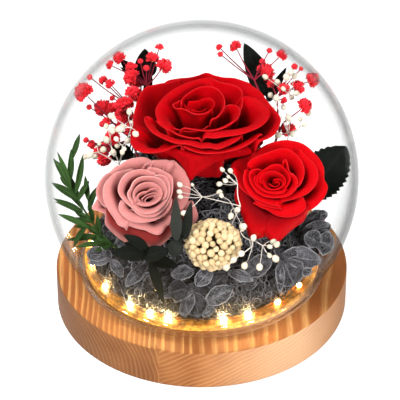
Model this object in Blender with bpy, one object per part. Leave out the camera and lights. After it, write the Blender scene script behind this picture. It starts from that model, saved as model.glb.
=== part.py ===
"""Preserved roses in a round glass dome.

A stepped wooden base carries a mound of curly moss, a ring of small lamps and three roses with
sprays and leaves round them. A round glass dome stands over them on the base's lower ring.

Lengths are in millimetres and become metres where a mesh is made. +Z is up and the object stands
on z = 0, with its axis on the origin. The front faces -Y.
"""
import math
import random

import bpy
import bmesh
from mathutils import Matrix, Vector

MM = 0.001
GAP = 0.3                     # left between pieces that touch

# Wooden base
BASE_RADIUS = 71.0
BASE_HEIGHT = 21.0            # up to the ring that the dome stands on
BASE_FOOT_ROUND = 1.6
BASE_EDGE_ROUND = 0.6
PLATEAU_RADIUS = 57.0         # the raised middle that locates the dome
PLATEAU_TOP = 26.0
PLATEAU_EDGE_ROUND = 0.5
BASE_SIDES = 32

# Battery cover in the underside
COVER_RADIUS = 25.0
COVER_THICKNESS = 2.0
COVER_INSET = 0.4             # how far it lies above the surface the base stands on
SWITCH_SLOT = (9.0, 4.0)
SWITCH_KNOB = (4.0, 3.2)
SWITCH_PLACE = 14.0           # from the middle of the cover

# Glass dome
DOME_RADIUS = 75.0
DOME_WALL = 1.9
DOME_CENTRE_Z = 72.0
COLLAR_RADIUS = 60.0
DOME_SIDES = 24
DOME_STEPS = 8                # rings of faces from its top to its collar

# Moss and lamps
MOUND_RADIUS = 51.0
MOUND_HEIGHT = 40.0
MOUND_POWER = 0.55            # 0.5 is an ellipsoid
LAMP_RING_RADIUS = 53.9
LAMP_RADIUS = 1.2
LAMP_LENGTH = 3.0
LAMP_COUNT = 12
WIRE_RADIUS = 0.45

# Rose petals. Each lies on a cup of its own round the rose's axis.
PETAL_THICKNESS = 0.7
CUP_START = (2.4, 5.0)        # radius and height where the innermost petal starts
CUP_START_STEP = 0.3          # how much farther out each next one starts
CUP_LOW = (0.70, 0.02)        # the curve's lower handle, as shares of the way to the rim
CUP_HIGH = 0.62               # height of its upper handle, which stands at the rim's radius
CUP_FLARE = 0.14              # how much narrower than its rim the outermost cup's belly is
ROLL_START = 0.72             # share of a petal's length from which its rim rolls outwards
ROLL_DROP = 0.5               # how far the rolled rim falls, as a share of its curl
PETAL_FACES = 4               # along it and across it
PETAL_FOOT = 0.42             # its width at the foot, as a share of its spread
PETAL_FULL = 0.62             # share of its length where it has its whole spread
PETAL_CORNER = (0.13, 2.5)    # how much lower its rim ends at its sides, and how suddenly

# Rose hearts: the closed bud in the middle, on its receptacle and stem
HEART_SIDES = 12
HEART_TURNS = 2.0             # of the spiral on its top
HEART_TOP = (0.90, 0.10, 2.4) # its lowest share of the height, the spiral's rise, the hollow
RECEPTACLE_RADIUS = 1.6
RECEPTACLE_TOP = 6.0
ROSE_STEM_RADIUS = 1.1

# Stems and leaves
LEAF_THICKNESS = 0.9
LEAF_STEM_RADIUS = 0.8
LEAF_STALK_RADIUS = 0.6
SPRAY_STEM_RADIUS = 0.5
FLORET_STEM_RADIUS = 0.6
FLORET_STEM_LENGTH = 15.0
RICE_STEM_RADIUS = 0.9
SUNK = 0.4                    # how far a stem runs into the one that carries it

# The flowers are arranged for someone who looks down on the front, so their places are given as
# (across, up, back): millimetres to the right, up and away in that view, from the dome's centre.
VIEW_TILT = math.radians(36)
EYE_DISTANCE = 1147.0

# Each rose has an origin, an axis and petals from the middle outwards. A petal is
# (azimuth in degrees, spread in degrees, rim radius, rim height, curl of the rim), and each starts
# one step lower on the receptacle than the one before it.
LARGE_ROSE = {
    "name": "large_rose", "slot": "red",
    "origin": (2.0, 9.4, 80.8),
    "axis": (0.0, -0.09, 1.0),
    "root": (1.0, 9.0, 56.0),
    "heart": (7.4, 22.5),
    "step": 1.0,
    "petals": [
        (95, 150, 10.5, 25.5, 1.0), (-80, 150, 12.0, 22.5, 1.0), (190, 120, 13.5, 23.5, 1.5),
        (120, 130, 18.5, 27.0, 1.5), (20, 105, 20.0, 25.5, 2.0), (-75, 125, 21.6, 24.0, 2.0),
        (205, 105, 23.3, 24.0, 2.0), (5, 110, 27.5, 24.0, 2.5), (235, 110, 28.8, 22.5, 2.5),
        (-50, 100, 30.8, 22.0, 2.5), (80, 115, 32.6, 23.0, 2.5), (165, 105, 33.6, 20.0, 2.5),
        (1, 78, 34.4, 20.0, 2.5), (-104, 82, 31.0, 10.0, 2.5),
    ],
}
RIGHT_ROSE = {
    "name": "right_rose", "slot": "red",
    "origin": (38.6, -20.0, 76.0),
    "axis": (-0.18, -0.60, 0.78),
    "root": (27.0, -4.0, 50.0),
    "heart": (9.2, 18.5),
    "step": 1.1,
    "petals": [
        (75, 140, 12.5, 18.5, 1.2), (-40, 130, 13.8, 16.5, 1.5), (200, 120, 15.1, 16.0, 1.5),
        (80, 130, 18.4, 14.5, 1.5), (-5, 110, 19.7, 12.0, 2.0), (185, 100, 20.8, 10.5, 1.5),
        (-120, 100, 22.0, 6.5, 2.0), (-60, 100, 23.0, 4.0, 2.0),
    ],
}
PINK_ROSE = {
    "name": "pink_rose", "slot": "pink",
    "origin": (-30.6, -25.6, 73.4),
    "axis": (0.20, -0.62, 0.75),
    "root": (-21.0, -9.0, 51.0),
    "heart": (9.0, 18.5),
    "step": 1.1,
    "petals": [
        (120, 150, 12.2, 18.0, 1.0), (0, 130, 13.5, 17.0, 1.0), (-100, 140, 14.8, 16.0, 1.5),
        (50, 115, 18.4, 13.0, 2.0), (135, 115, 19.7, 12.0, 2.0), (-155, 105, 21.0, 9.0, 2.0),
        (-25, 100, 22.0, 7.0, 2.0), (-95, 105, 23.0, 4.0, 2.0),
    ],
}

# Sprays: a root in the moss, a trunk that ends where the spray forks, then the forks, each with
# the flower heads that it carries. A head is (across, up, back, radius).
RED_LEFT = {
    "root": (-26.0, 22.0, 52.0), "trunk": (-33.0, 18.0, 12.0),
    "forks": [
        ((-42.0, 26.0, 6.0), [(-54.0, 37.5, 5.0, 3.6), (-46.5, 33.0, 2.0, 3.6),
                              (-44.5, 45.0, 6.0, 2.6), (-43.0, 18.0, 2.0, 2.8)]),
        ((-35.0, 35.0, 4.0), [(-38.5, 54.5, 6.0, 2.8), (-33.0, 49.0, 4.0, 3.8),
                              (-33.0, 40.5, -8.0, 3.8)]),
        ((-26.0, 44.0, 14.0), [(-22.5, 58.0, 12.0, 3.0), (-17.0, 53.5, 12.0, 3.5)]),
    ],
}
RED_RIGHT = {
    "root": (26.0, 24.0, 51.0), "trunk": (37.0, 22.0, 14.0),
    "forks": [
        ((42.0, 28.0, 9.0), [(52.0, 45.0, 5.0, 3.4), (49.0, 34.0, 4.0, 3.4),
                             (45.5, 43.0, 9.0, 3.2), (42.5, 22.5, 4.0, 3.2)]),
        ((35.0, 38.0, 11.0), [(31.0, 50.0, 8.0, 4.0), (37.5, 57.0, 8.0, 3.0)]),
        ((26.0, 46.0, 16.0), [(15.5, 61.5, 14.0, 2.9), (8.8, 60.0, 12.0, 2.2)]),
    ],
}
WHITE_LEFT = {
    "root": (-36.0, 3.0, 47.0), "trunk": (-40.0, 6.0, -2.0),
    "forks": [
        ((-40.5, 12.5, -9.0), [(-37.5, 24.0, -12.0, 1.4), (-33.5, 19.5, -15.0, 1.4),
                               (-43.0, 22.0, -6.0, 1.4)]),
        ((-44.0, 12.0, -4.0), [(-46.5, 17.0, -4.0, 1.4), (-50.0, 20.0, 0.0, 1.4)]),
    ],
}
WHITE_CENTRE = {
    "root": (12.0, -24.0, 54.0), "trunk": (15.0, -19.0, -25.0),
    "forks": [
        ((16.5, -12.0, -27.0), [(10.0, 2.0, -32.0, 1.2), (13.5, 2.5, -33.0, 1.2),
                                (9.0, -8.0, -29.0, 1.2)]),
        ((1.0, -10.5, -28.0), [(-4.0, -5.5, -31.0, 1.2), (-6.0, -17.0, -36.0, 1.2)]),
    ],
}
WHITE_RIGHT = {
    "root": (24.0, -30.0, 46.0), "trunk": (24.0, -36.0, -27.0),
    "forks": [
        ((24.5, -34.5, -32.0), [(25.0, -29.0, -38.0, 1.3), (20.5, -42.5, -38.0, 1.3),
                                (27.5, -43.0, -37.0, 1.4)]),
        ((31.0, -36.0, -33.0), [(34.0, -31.5, -38.0, 1.4), (34.0, -37.5, -38.0, 1.4)]),
    ],
}
WHITE_BACK = {
    "root": (36.0, 12.0, 45.0), "trunk": (43.0, 14.0, 14.0),
    "forks": [
        ((42.0, 24.0, 18.0), [(36.0, 38.0, 20.0, 1.5), (51.0, 31.0, 14.0, 1.5)]),
        ((48.0, 19.0, 13.0), [(58.0, 18.0, 12.0, 1.4), (60.0, 26.0, 10.0, 1.4)]),
    ],
}

# Leaves: (base, tip, width), the ends in the view's own places
NEEDLES = {
    "root": (-37.0, -20.0, 40.0),
    "stem": [(-43.0, -32.5, -9.0), (-53.0, -19.5, -7.0), (-59.0, -9.0, -5.0), (-62.5, -2.0, -3.0)],
    "count": 15,
    "length": 16.0,
    "width": 2.6,
}
RUSCUS_TALL = {
    "root": (-12.0, -38.0, 46.0),
    "leaves": [((-12.5, -32.0, -36.0), (-12.2, -10.5, -45.5), 5.4),
               ((-10.0, -34.0, -35.0), (-4.6, -12.5, -41.0), 5.2),
               ((-12.2, -31.0, -37.0), (-12.6, -39.5, -40.0), 6.0)],
}
RUSCUS_LOW = {
    "root": (-24.0, -36.0, 42.0),
    "leaves": [((-26.0, -41.0, -35.0), (-43.0, -38.0, -37.0), 6.6),
               ((-25.0, -41.0, -35.0), (-14.5, -38.5, -38.5), 6.6),
               ((-25.5, -41.0, -37.0), (-37.0, -31.5, -42.0), 4.6),
               ((-24.0, -42.0, -33.0), (-18.5, -60.0, -32.0), 4.4)],
}
ROSE_LEAF = {"root": (43.0, 12.0, 44.0),
             "leaves": [((47.0, -13.0, 2.0), (68.5, 14.0, 2.0), 21.0)]}
DARK_LEAF_LEFT = {"root": (-16.0, 34.0, 50.0),
                  "leaves": [((-26.5, 44.0, 32.0), (-26.5, 61.0, 21.0), 10.0),
                             ((-27.0, 41.0, 30.0), (-43.0, 48.0, 22.0), 8.0)]}
DARK_LEAF_RIGHT = {"root": (16.0, 36.0, 50.0),
                   "leaves": [((30.0, 38.0, 32.0), (20.0, 62.0, 23.0), 12.0)]}

# Hydrangea florets: (place, radius, turn about its own axis), the place in the view's own terms
FLORETS = [
    ((56.0, -31.0, -2.0), 10.5, 10), ((53.0, -21.0, 6.0), 9.0, 50),
    ((40.0, -42.5, -24.0), 12.5, 20), ((15.5, -52.5, -24.0), 11.0, 35),
    ((-5.0, -54.5, -24.0), 11.0, 0), ((-44.0, -39.5, -16.0), 10.5, 30),
    ((23.0, 9.5, 54.5), 11.5, 15), ((-25.0, 7.0, 54.0), 11.5, 60),
]
FLORET_AIM = (0.0, 0.0, 24.0)  # florets face away from this point inside the mound
# One petal's edge: angle in degrees, share of the radius, share of the radius that it lifts
FLORET_EDGE = [(-24, 0.88, 0.08), (0, 1.0, 0.16), (24, 0.88, 0.08), (45, 0.34, 0.0)]

# Rice flower, a round head of cream berries
RICE_CENTRE = (5.3, -31.5, -30.0)
RICE_RADIUS = 11.3
RICE_DEPTH = 8.0
RICE_BERRIES = 24
BERRY_RADIUS = 2.4
RICE_AXIS = (0.08, -0.80, 0.60)
RICE_ROOT = (3.0, -30.0, 46.0)

COLOURS = {                   # colour, roughness, metallic
    "oak": ((0.55, 0.27, 0.12), 0.5, 0.0),
    "cover": ((0.03, 0.03, 0.03), 0.5, 0.0),
    "glass": ((0.93, 0.95, 0.95), 0.05, 0.0),
    "lamps": ((1.0, 0.72, 0.30), 0.3, 0.0),
    "moss": ((0.08, 0.08, 0.09), 0.9, 0.0),
    "red": ((0.62, 0.01, 0.01), 0.6, 0.0),
    "pink": ((0.70, 0.33, 0.31), 0.6, 0.0),
    "red_babys_breath": ((0.65, 0.03, 0.05), 0.7, 0.0),
    "white_babys_breath": ((0.85, 0.83, 0.78), 0.7, 0.0),
    "berries": ((0.72, 0.60, 0.38), 0.6, 0.0),
    "green": ((0.05, 0.15, 0.03), 0.5, 0.0),
    "dark_leaf": ((0.02, 0.03, 0.025), 0.5, 0.0),
    "hydrangea": ((0.10, 0.10, 0.11), 0.7, 0.0),
}

sockets = []                  # (path, radius) of every stem that is pushed into the moss


def material(slot):
    found = bpy.data.materials.get(slot)
    if found:
        return found
    colour, roughness, metallic = COLOURS[slot]
    made = bpy.data.materials.new(slot)
    made.use_nodes = True
    shader = made.node_tree.nodes["Principled BSDF"]
    shader.inputs["Base Color"].default_value = (*colour, 1)
    shader.inputs["Roughness"].default_value = roughness
    shader.inputs["Metallic"].default_value = metallic
    made.diffuse_color = (*colour, 1)
    return made


def add_object(name, mesh_data, slot, crease=40):
    """Put a bmesh in the scene as one named object, in metres, smooth but for its creases."""
    bmesh.ops.recalc_face_normals(mesh_data, faces=mesh_data.faces)
    bmesh.ops.scale(mesh_data, vec=Vector((MM, MM, MM)), verts=mesh_data.verts)
    mesh = bpy.data.meshes.new(name)
    mesh_data.to_mesh(mesh)
    mesh_data.free()
    mesh.shade_smooth()
    mesh.set_sharp_from_angle(angle=math.radians(crease))
    thing = bpy.data.objects.new(name, mesh)
    bpy.context.collection.objects.link(thing)
    mesh.materials.append(material(slot))
    return thing


def seen(across, up, back):
    """Where a place in the front view, given from the dome's centre, lies in the object."""
    near = 1 + back / EYE_DISTANCE
    rise, run = math.cos(VIEW_TILT), math.sin(VIEW_TILT)
    return Vector((across * near, up * near * run + back * rise,
                   DOME_CENTRE_Z + up * near * rise - back * run))


def bow(centre, radius, start, end, steps):
    """Points on an arc in the (radius, height) plane, its angles in degrees."""
    turns = [math.radians(start + (end - start) * k / steps) for k in range(steps + 1)]
    return [(centre[0] + radius * math.cos(a), centre[1] + radius * math.sin(a)) for a in turns]


def turned(profile, sides, closed=False):
    """Turn an outline of (radius, height) points about Z. A closed one makes a ring."""
    made = bmesh.new()
    rings = []
    for radius, height in profile:
        if radius < 1e-6:
            rings.append([made.verts.new((0, 0, height))])
            continue
        ring = []
        for k in range(sides):
            a = math.tau * k / sides
            ring.append(made.verts.new((radius * math.cos(a), radius * math.sin(a), height)))
        rings.append(ring)
    pairs = list(zip(rings, rings[1:]))
    if closed:
        pairs.append((rings[-1], rings[0]))
    for one, two in pairs:
        for k in range(sides):
            n = (k + 1) % sides
            corners = [one[k % len(one)], one[n % len(one)], two[n % len(two)], two[k % len(two)]]
            unique = list(dict.fromkeys(corners))
            if len(unique) > 2:
                made.faces.new(unique)
    return made


def tube(path, radii, sides=4):
    """A closed tube along a path, with one radius for each of its points."""
    path = [Vector(p) for p in path]
    made = bmesh.new()
    rings = []
    side = None
    for k, point in enumerate(path):
        along = (path[min(k + 1, len(path) - 1)] - path[max(k - 1, 0)]).normalized()
        if side is None:
            side = along.orthogonal()
        side = (side - along * side.dot(along)).normalized()
        other = along.cross(side)
        rings.append([made.verts.new(point + radii[k] * (side * math.cos(math.tau * n / sides)
                                                         + other * math.sin(math.tau * n / sides)))
                      for n in range(sides)])
    for one, two in zip(rings, rings[1:]):
        for n in range(sides):
            m = (n + 1) % sides
            made.faces.new((one[n], one[m], two[m], two[n]))
    made.faces.new(rings[0])
    made.faces.new(rings[-1])
    return made


def ball(centre, radius):
    made = bmesh.new()
    bmesh.ops.create_icosphere(made, subdivisions=1, radius=radius,
                               matrix=Matrix.Translation(centre))
    return made


def twig(start, tip, stem, head, sides):
    """A thin stem that swells into a round head at its tip."""
    start, tip = Vector(start), Vector(tip)
    along = (tip - start).normalized()
    places = ((-1.0, stem / head), (-0.5, 0.80), (0.15, 1.0), (0.8, 0.55))
    path = [start] + [tip + along * head * shift for shift, share in places]
    return tube(path, [stem] + [head * share for shift, share in places], sides)


def blade(base, tip, width, facing, rings=3, bend=0.0, thickness=LEAF_THICKNESS):
    """A closed leaf, widest in its middle and thin at its edges, that bends towards its face."""
    base, tip = Vector(base), Vector(tip)
    along = tip - base
    across = along.cross(facing).normalized()
    face = across.cross(along).normalized()
    made = bmesh.new()
    ends = [made.verts.new(base), made.verts.new(tip)]
    loops = []
    for k in range(rings):
        t = (k + 1) / (rings + 1)
        swell = math.sin(math.pi * t) ** 0.7
        middle = base + along * t + face * bend * along.length * math.sin(math.pi * t)
        half = across * width / 2 * swell
        rise = face * thickness / 2
        loops.append([made.verts.new(middle + v) for v in (half, rise, -half, -rise)])
    for n in range(4):
        m = (n + 1) % 4
        made.faces.new((ends[0], loops[0][n], loops[0][m]))
        made.faces.new((ends[1], loops[-1][m], loops[-1][n]))
        for one, two in zip(loops, loops[1:]):
            made.faces.new((one[n], two[n], two[m], one[m]))
    return made


def fused(name, shells, slot, crease=40, keep=1.0):
    """Join closed shells that run into each other in one closed body, and thin out its faces."""
    first, rest = shells[0], shells[1:]
    body = add_object(name, first, slot, crease)
    joined = bmesh.new()
    for shell in rest:
        bmesh.ops.recalc_face_normals(shell, faces=shell.faces)
        copy = bpy.data.meshes.new("shell")
        shell.to_mesh(copy)
        shell.free()
        joined.from_mesh(copy)
        bpy.data.meshes.remove(copy)
    bmesh.ops.scale(joined, vec=Vector((MM, MM, MM)), verts=joined.verts)
    mesh = bpy.data.meshes.new(name + "_rest")
    joined.to_mesh(mesh)
    joined.free()
    operand = bpy.data.objects.new(name + "_rest", mesh)
    bpy.context.collection.objects.link(operand)
    union = body.modifiers.new("Union", "BOOLEAN")
    union.operation = "UNION"
    union.solver = "EXACT"
    union.use_self = True
    union.object = operand
    if keep < 1:
        fewer = body.modifiers.new("Fewer", "DECIMATE")
        fewer.ratio = keep
    graph = bpy.context.evaluated_depsgraph_get()
    whole = bpy.data.meshes.new_from_object(body.evaluated_get(graph))
    body.modifiers.clear()
    body.data = whole
    whole.name = name
    bpy.data.objects.remove(operand)
    whole.shade_smooth()
    whole.set_sharp_from_angle(angle=math.radians(crease))
    return body


def planted(path, radius, points=2):
    """Remember where a stem goes into the moss, so that the moss gets a socket for it."""
    path = [Vector(p) for p in path[:points]]
    away = (path[0] - path[1]).normalized()
    sockets.append(([path[0] + away * GAP] + path[1:], radius + GAP))


def wooden_base():
    top, step = BASE_HEIGHT, PLATEAU_TOP
    foot, edge, lip = BASE_FOOT_ROUND, BASE_EDGE_ROUND, PLATEAU_EDGE_ROUND
    recess = COVER_THICKNESS + COVER_INSET + GAP
    outline = [(0, recess), (COVER_RADIUS + GAP, recess), (COVER_RADIUS + GAP, 0)]
    outline += bow((BASE_RADIUS - foot, foot), foot, -90, 0, 2)
    outline += bow((BASE_RADIUS - edge, top - edge), edge, 0, 90, 1)
    outline += [(PLATEAU_RADIUS, top)]
    outline += bow((PLATEAU_RADIUS - lip, step - lip), lip, 0, 90, 1)
    outline += [(0, step)]
    return add_object("wooden_base", turned(outline, BASE_SIDES), "oak", crease=25)


def battery_cover():
    low = COVER_INSET
    outline = [(0, low), (COVER_RADIUS, low), (COVER_RADIUS, low + COVER_THICKNESS),
               (0, low + COVER_THICKNESS)]
    cover = add_object("battery_cover", turned(outline, 24), "cover", crease=25)
    length, width = SWITCH_SLOT
    slot = bmesh.new()
    bmesh.ops.create_cube(slot, size=1)
    bmesh.ops.scale(slot, vec=Vector((length, width, 3 * COVER_THICKNESS)), verts=slot.verts)
    bmesh.ops.translate(slot, vec=Vector((0, SWITCH_PLACE, low)), verts=slot.verts)
    cutter = add_object("switch_slot", slot, "cover")
    cutter.hide_render = True
    cutter.display_type = "WIRE"
    cut = cover.modifiers.new("Slot", "BOOLEAN")
    cut.operation = "DIFFERENCE"
    cut.solver = "EXACT"
    cut.object = cutter
    long_side, short_side = SWITCH_KNOB
    knob = bmesh.new()
    bmesh.ops.create_cube(knob, size=1)
    bmesh.ops.scale(knob, vec=Vector((long_side, short_side, COVER_THICKNESS)), verts=knob.verts)
    shift = (length - long_side) / 2 - GAP
    place = Vector((shift, SWITCH_PLACE, low + COVER_THICKNESS / 2))
    bmesh.ops.translate(knob, vec=place, verts=knob.verts)
    add_object("light_switch", knob, "cover")


def glass_dome():
    inner = DOME_RADIUS - DOME_WALL
    inner_collar = COLLAR_RADIUS - DOME_WALL
    centre = (0, DOME_CENTRE_Z)
    low = math.degrees(math.acos(COLLAR_RADIUS / DOME_RADIUS))
    inner_low = math.degrees(math.acos(inner_collar / inner))
    foot = BASE_HEIGHT + GAP
    round_foot = DOME_WALL / 2
    outline = bow(centre, DOME_RADIUS, 90, -low, DOME_STEPS)
    outline += bow((COLLAR_RADIUS - round_foot, foot + round_foot), round_foot, 0, -180, 2)
    outline += bow(centre, inner, -inner_low, 90, DOME_STEPS)
    outline[0] = (0, DOME_CENTRE_Z + DOME_RADIUS)
    outline[-1] = (0, DOME_CENTRE_Z + inner)
    return add_object("glass_dome", turned(outline, DOME_SIDES), "glass", crease=60)


def light_string():
    """A thin wire ring round the foot of the moss whose lamps are swellings on it."""
    height = PLATEAU_TOP + GAP + LAMP_RADIUS
    made = bmesh.new()
    rings = []
    half = LAMP_LENGTH / 2 / LAMP_RING_RADIUS
    between = math.pi / LAMP_COUNT
    sides = 4
    for lamp in range(LAMP_COUNT):
        middle = math.tau * lamp / LAMP_COUNT
        for offset, thick in ((-half * 1.1, WIRE_RADIUS), (-half, LAMP_RADIUS),
                              (half, LAMP_RADIUS), (half * 1.1, WIRE_RADIUS),
                              (between, WIRE_RADIUS)):
            a = middle + offset
            ring = []
            for n in range(sides):
                b = math.tau * (n + 0.5) / sides
                radius = LAMP_RING_RADIUS + thick * math.cos(b)
                ring.append(made.verts.new((radius * math.cos(a), radius * math.sin(a),
                                            height + thick * math.sin(b))))
            rings.append(ring)
    for one, two in zip(rings, rings[1:] + rings[:1]):
        for n in range(sides):
            m = (n + 1) % sides
            made.faces.new((one[n], one[m], two[m], two[n]))
    return add_object("light_string", made, "lamps")


def mound_height(radius):
    inside = max(0.0, 1 - (radius / MOUND_RADIUS) ** 2)
    return PLATEAU_TOP + GAP + MOUND_HEIGHT * inside ** MOUND_POWER


def moss_bed():
    """A lumpy mound with a flat foot, with a socket for every stem pushed into it."""
    rng = random.Random(4)
    sides = 18
    outline = [(0, PLATEAU_TOP + GAP), (MOUND_RADIUS, PLATEAU_TOP + GAP)]
    for share in (0.985, 0.92, 0.78, 0.58, 0.32):
        outline.append((MOUND_RADIUS * share, mound_height(MOUND_RADIUS * share)))
    outline.append((0, mound_height(0)))
    made = turned(outline, sides)
    made.verts.ensure_lookup_table()
    for vert in made.verts:
        if vert.co.z > PLATEAU_TOP + 2:
            out = Vector((vert.co.x, vert.co.y, vert.co.z - PLATEAU_TOP)).normalized()
            vert.co += out * rng.uniform(-1.2, 0.8)
    moss = add_object("moss_bed", made, "moss")
    holes = bmesh.new()
    for path, radius in sockets:
        hole = tube(path, [radius] * len(path), 4)
        copy = bpy.data.meshes.new("hole")
        bmesh.ops.recalc_face_normals(hole, faces=hole.faces)
        hole.to_mesh(copy)
        hole.free()
        holes.from_mesh(copy)
        bpy.data.meshes.remove(copy)
    cutter = add_object("moss_sockets", holes, "moss")
    cutter.hide_render = True
    cutter.display_type = "WIRE"
    cut = moss.modifiers.new("Sockets", "BOOLEAN")
    cut.operation = "DIFFERENCE"
    cut.solver = "EXACT"
    cut.use_self = True
    cut.object = cutter
    return moss


def rose_frame(rose):
    """A rose's own axes: Z along its axis, Y up or back and X to the right."""
    axis = Vector(rose["axis"]).normalized()
    up = Vector((0, 1, 0))
    up = (up - axis * up.dot(axis)).normalized()
    right = up.cross(axis)
    turn = Matrix((right, up, axis)).transposed().to_4x4()
    return Matrix.Translation(rose["origin"]) @ turn


def cup_curve(rose, order, rim, height, curl, v):
    """(radius, height) at the share v of a petal's length, on a cup that opens to its rim."""
    start = Vector((CUP_START[0] + CUP_START_STEP * order, CUP_START[1] - rose["step"] * order))
    end = Vector((rim, height))
    belly = rim * (1 - CUP_FLARE * order / (len(LARGE_ROSE["petals"]) - 1))
    low = start + Vector((CUP_LOW[0] * (belly - start.x), CUP_LOW[1] * (height - start.y)))
    high = Vector((belly, start.y + CUP_HIGH * (height - start.y)))
    point = ((1 - v) ** 3 * start + 3 * v * (1 - v) ** 2 * low
             + 3 * v * v * (1 - v) * high + v ** 3 * end)
    rolled = curl * max(0.0, (v - ROLL_START) / (1 - ROLL_START)) ** 2
    return point.x + rolled, point.y - ROLL_DROP * rolled


def petal(rose, order, azimuth, spread, rim, height, curl):
    """One petal: a sheet on its own cup, narrow at its foot and round at its rim."""
    made = bmesh.new()
    frame = rose_frame(rose)
    drop, power = PETAL_CORNER
    grid = []
    for row in range(PETAL_FACES + 1):
        line = []
        for column in range(PETAL_FACES + 1):
            u = 2 * column / PETAL_FACES - 1
            share = row / PETAL_FACES * (1 - drop * abs(u) ** power)
            opened = math.sin(math.pi / 2 * min(1, share / PETAL_FULL))
            wide = PETAL_FOOT + (1 - PETAL_FOOT) * opened
            angle = math.radians(azimuth + u * spread / 2 * wide)
            radius, level = cup_curve(rose, order, rim, height, curl, share)
            line.append(made.verts.new(frame @ Vector((radius * math.cos(angle),
                                                       radius * math.sin(angle), level))))
        grid.append(line)
    for one, two in zip(grid, grid[1:]):
        for k in range(PETAL_FACES):
            made.faces.new((one[k], one[k + 1], two[k + 1], two[k]))
    sheet = add_object("%s_petal_%02d" % (rose["name"], order + 1), made, rose["slot"], 180)
    thick = sheet.modifiers.new("Thickness", "SOLIDIFY")
    thick.thickness = PETAL_THICKNESS * MM
    thick.offset = 0
    return sheet


def rose_heart(rose):
    """The closed middle: a rolled bud with a spiral step on top, its receptacle and its stem."""
    radius, top = rose["heart"]
    bottom = CUP_START[1] - 1 - rose["step"] * len(rose["petals"])
    frame = rose_frame(rose)
    lowest, rise, hollow = HEART_TOP

    def ring(ring_radius, levels):
        corners = []
        for k, level in enumerate(levels):
            a = math.tau * k / HEART_SIDES
            place = Vector((ring_radius * math.cos(a), ring_radius * math.sin(a), level))
            corners.append(made.verts.new(frame @ place))
        return corners

    made = bmesh.new()
    rings = []
    for ring_radius, level in ((RECEPTACLE_RADIUS, bottom), (RECEPTACLE_RADIUS, RECEPTACLE_TOP),
                               (0.55 * radius, 1.5 * RECEPTACLE_TOP), (radius, 0.60 * top),
                               (0.98 * radius, 0.86 * top)):
        rings.append(ring(ring_radius, [level] * HEART_SIDES))
    for share in (0.88, 0.55, 0.22):
        phases = [(k / HEART_SIDES + HEART_TURNS * share) % 1.0 for k in range(HEART_SIDES)]
        dip = hollow * (1 - share) ** 2
        rings.append(ring(radius * share, [top * (lowest + rise * phase) - dip
                                           for phase in phases]))
    for one, two in zip(rings, rings[1:]):
        for k in range(HEART_SIDES):
            n = (k + 1) % HEART_SIDES
            made.faces.new((one[k], one[n], two[n], two[k]))
    made.faces.new(rings[0])
    made.faces.new(rings[-1])
    foot = frame @ Vector((0, 0, bottom + 2.0))
    below = frame @ Vector((0, 0, bottom - 1.5))
    root = Vector(rose["root"])
    path = [root, root.lerp(below, 0.8), below, foot]
    stem = tube(path, [ROSE_STEM_RADIUS] * len(path), 4)
    planted(path, ROSE_STEM_RADIUS, 3)
    return fused(rose["name"] + "_heart", [made, stem], rose["slot"])


def rose(design):
    rose_heart(design)
    for order, (azimuth, spread, rim, height, curl) in enumerate(design["petals"]):
        petal(design, order, azimuth, spread, rim, height, curl)


def spray(name, design, slot, sides):
    """Thin stems that fork from one trunk in the moss, with a round head at each tip."""
    radius = SPRAY_STEM_RADIUS
    trunk = seen(*design["trunk"])
    root = Vector(design["root"])
    path = [root, root.lerp(trunk, 0.6), trunk]
    planted(path, radius * 1.5)
    shells = [tube(path, [radius * 1.5] * 3, 4)]
    for fork, tips in design["forks"]:
        fork = seen(*fork)
        inside = trunk + (trunk - fork).normalized() * SUNK
        shells.append(tube([inside, fork], [radius * 1.2] * 2, 3))
        for across, up, back, head in tips:
            tip = seen(across, up, back)
            start = fork - (tip - fork).normalized() * SUNK
            shells.append(twig(start, tip, radius, head, sides))
    return fused(name, shells, slot, keep=0.45)


def needle_sprig():
    design = NEEDLES
    stem = [Vector(design["root"])] + [seen(*p) for p in design["stem"]]
    thick = LEAF_STEM_RADIUS
    shells = [tube(stem, [thick, thick, thick * 0.9, thick * 0.75, thick * 0.5], 4)]
    planted(stem, thick)
    facing = seen(0, 0, -1) - seen(0, 0, 0)
    count = design["count"]
    for k in range(count):
        share = 0.30 + 0.66 * k / (count - 1)
        place = share * (len(stem) - 1)
        part = min(int(place), len(stem) - 2)
        start = stem[part].lerp(stem[part + 1], place - part)
        along = (stem[part + 1] - stem[part]).normalized()
        side = along.cross(facing).normalized() * (1 if k % 2 else -1)
        lift = facing * (0.5 if k % 3 else -0.3)
        reach = design["length"] * (1 - 0.35 * share)
        aim = (along * 0.75 + side * 0.62 + lift * 0.5).normalized()
        foot = start - aim * 3 * SUNK
        shells.append(blade(foot, start + aim * reach, design["width"], facing, 1))
    return fused("needle_sprig", shells, "green", keep=0.6)


def leafy_sprig(name, design, slot):
    """Leaves on one stem that is pushed into the moss."""
    root = Vector(design["root"])
    starts = [seen(*leaf[0]) for leaf in design["leaves"]]
    meeting = sum(starts, Vector()) / len(starts)
    path = [root, root.lerp(meeting, 0.6), meeting]
    shells = [tube(path, [LEAF_STEM_RADIUS] * 3, 4)]
    planted(path, LEAF_STEM_RADIUS)
    facing = (seen(0, 0, -1) - seen(0, 0, 0)) * 0.7 + Vector((0, 0, 0.5))
    for start, (_, tip, width) in zip(starts, design["leaves"]):
        tip = seen(*tip)
        stalk = [meeting, start + (tip - start) * 0.08]
        shells.append(tube(stalk, [LEAF_STALK_RADIUS, LEAF_STALK_RADIUS * 0.8], 4))
        shells.append(blade(start - (tip - start) * 0.05, tip, width, facing, rings=3, bend=0.06))
    return fused(name, shells, slot, keep=0.7)


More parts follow.
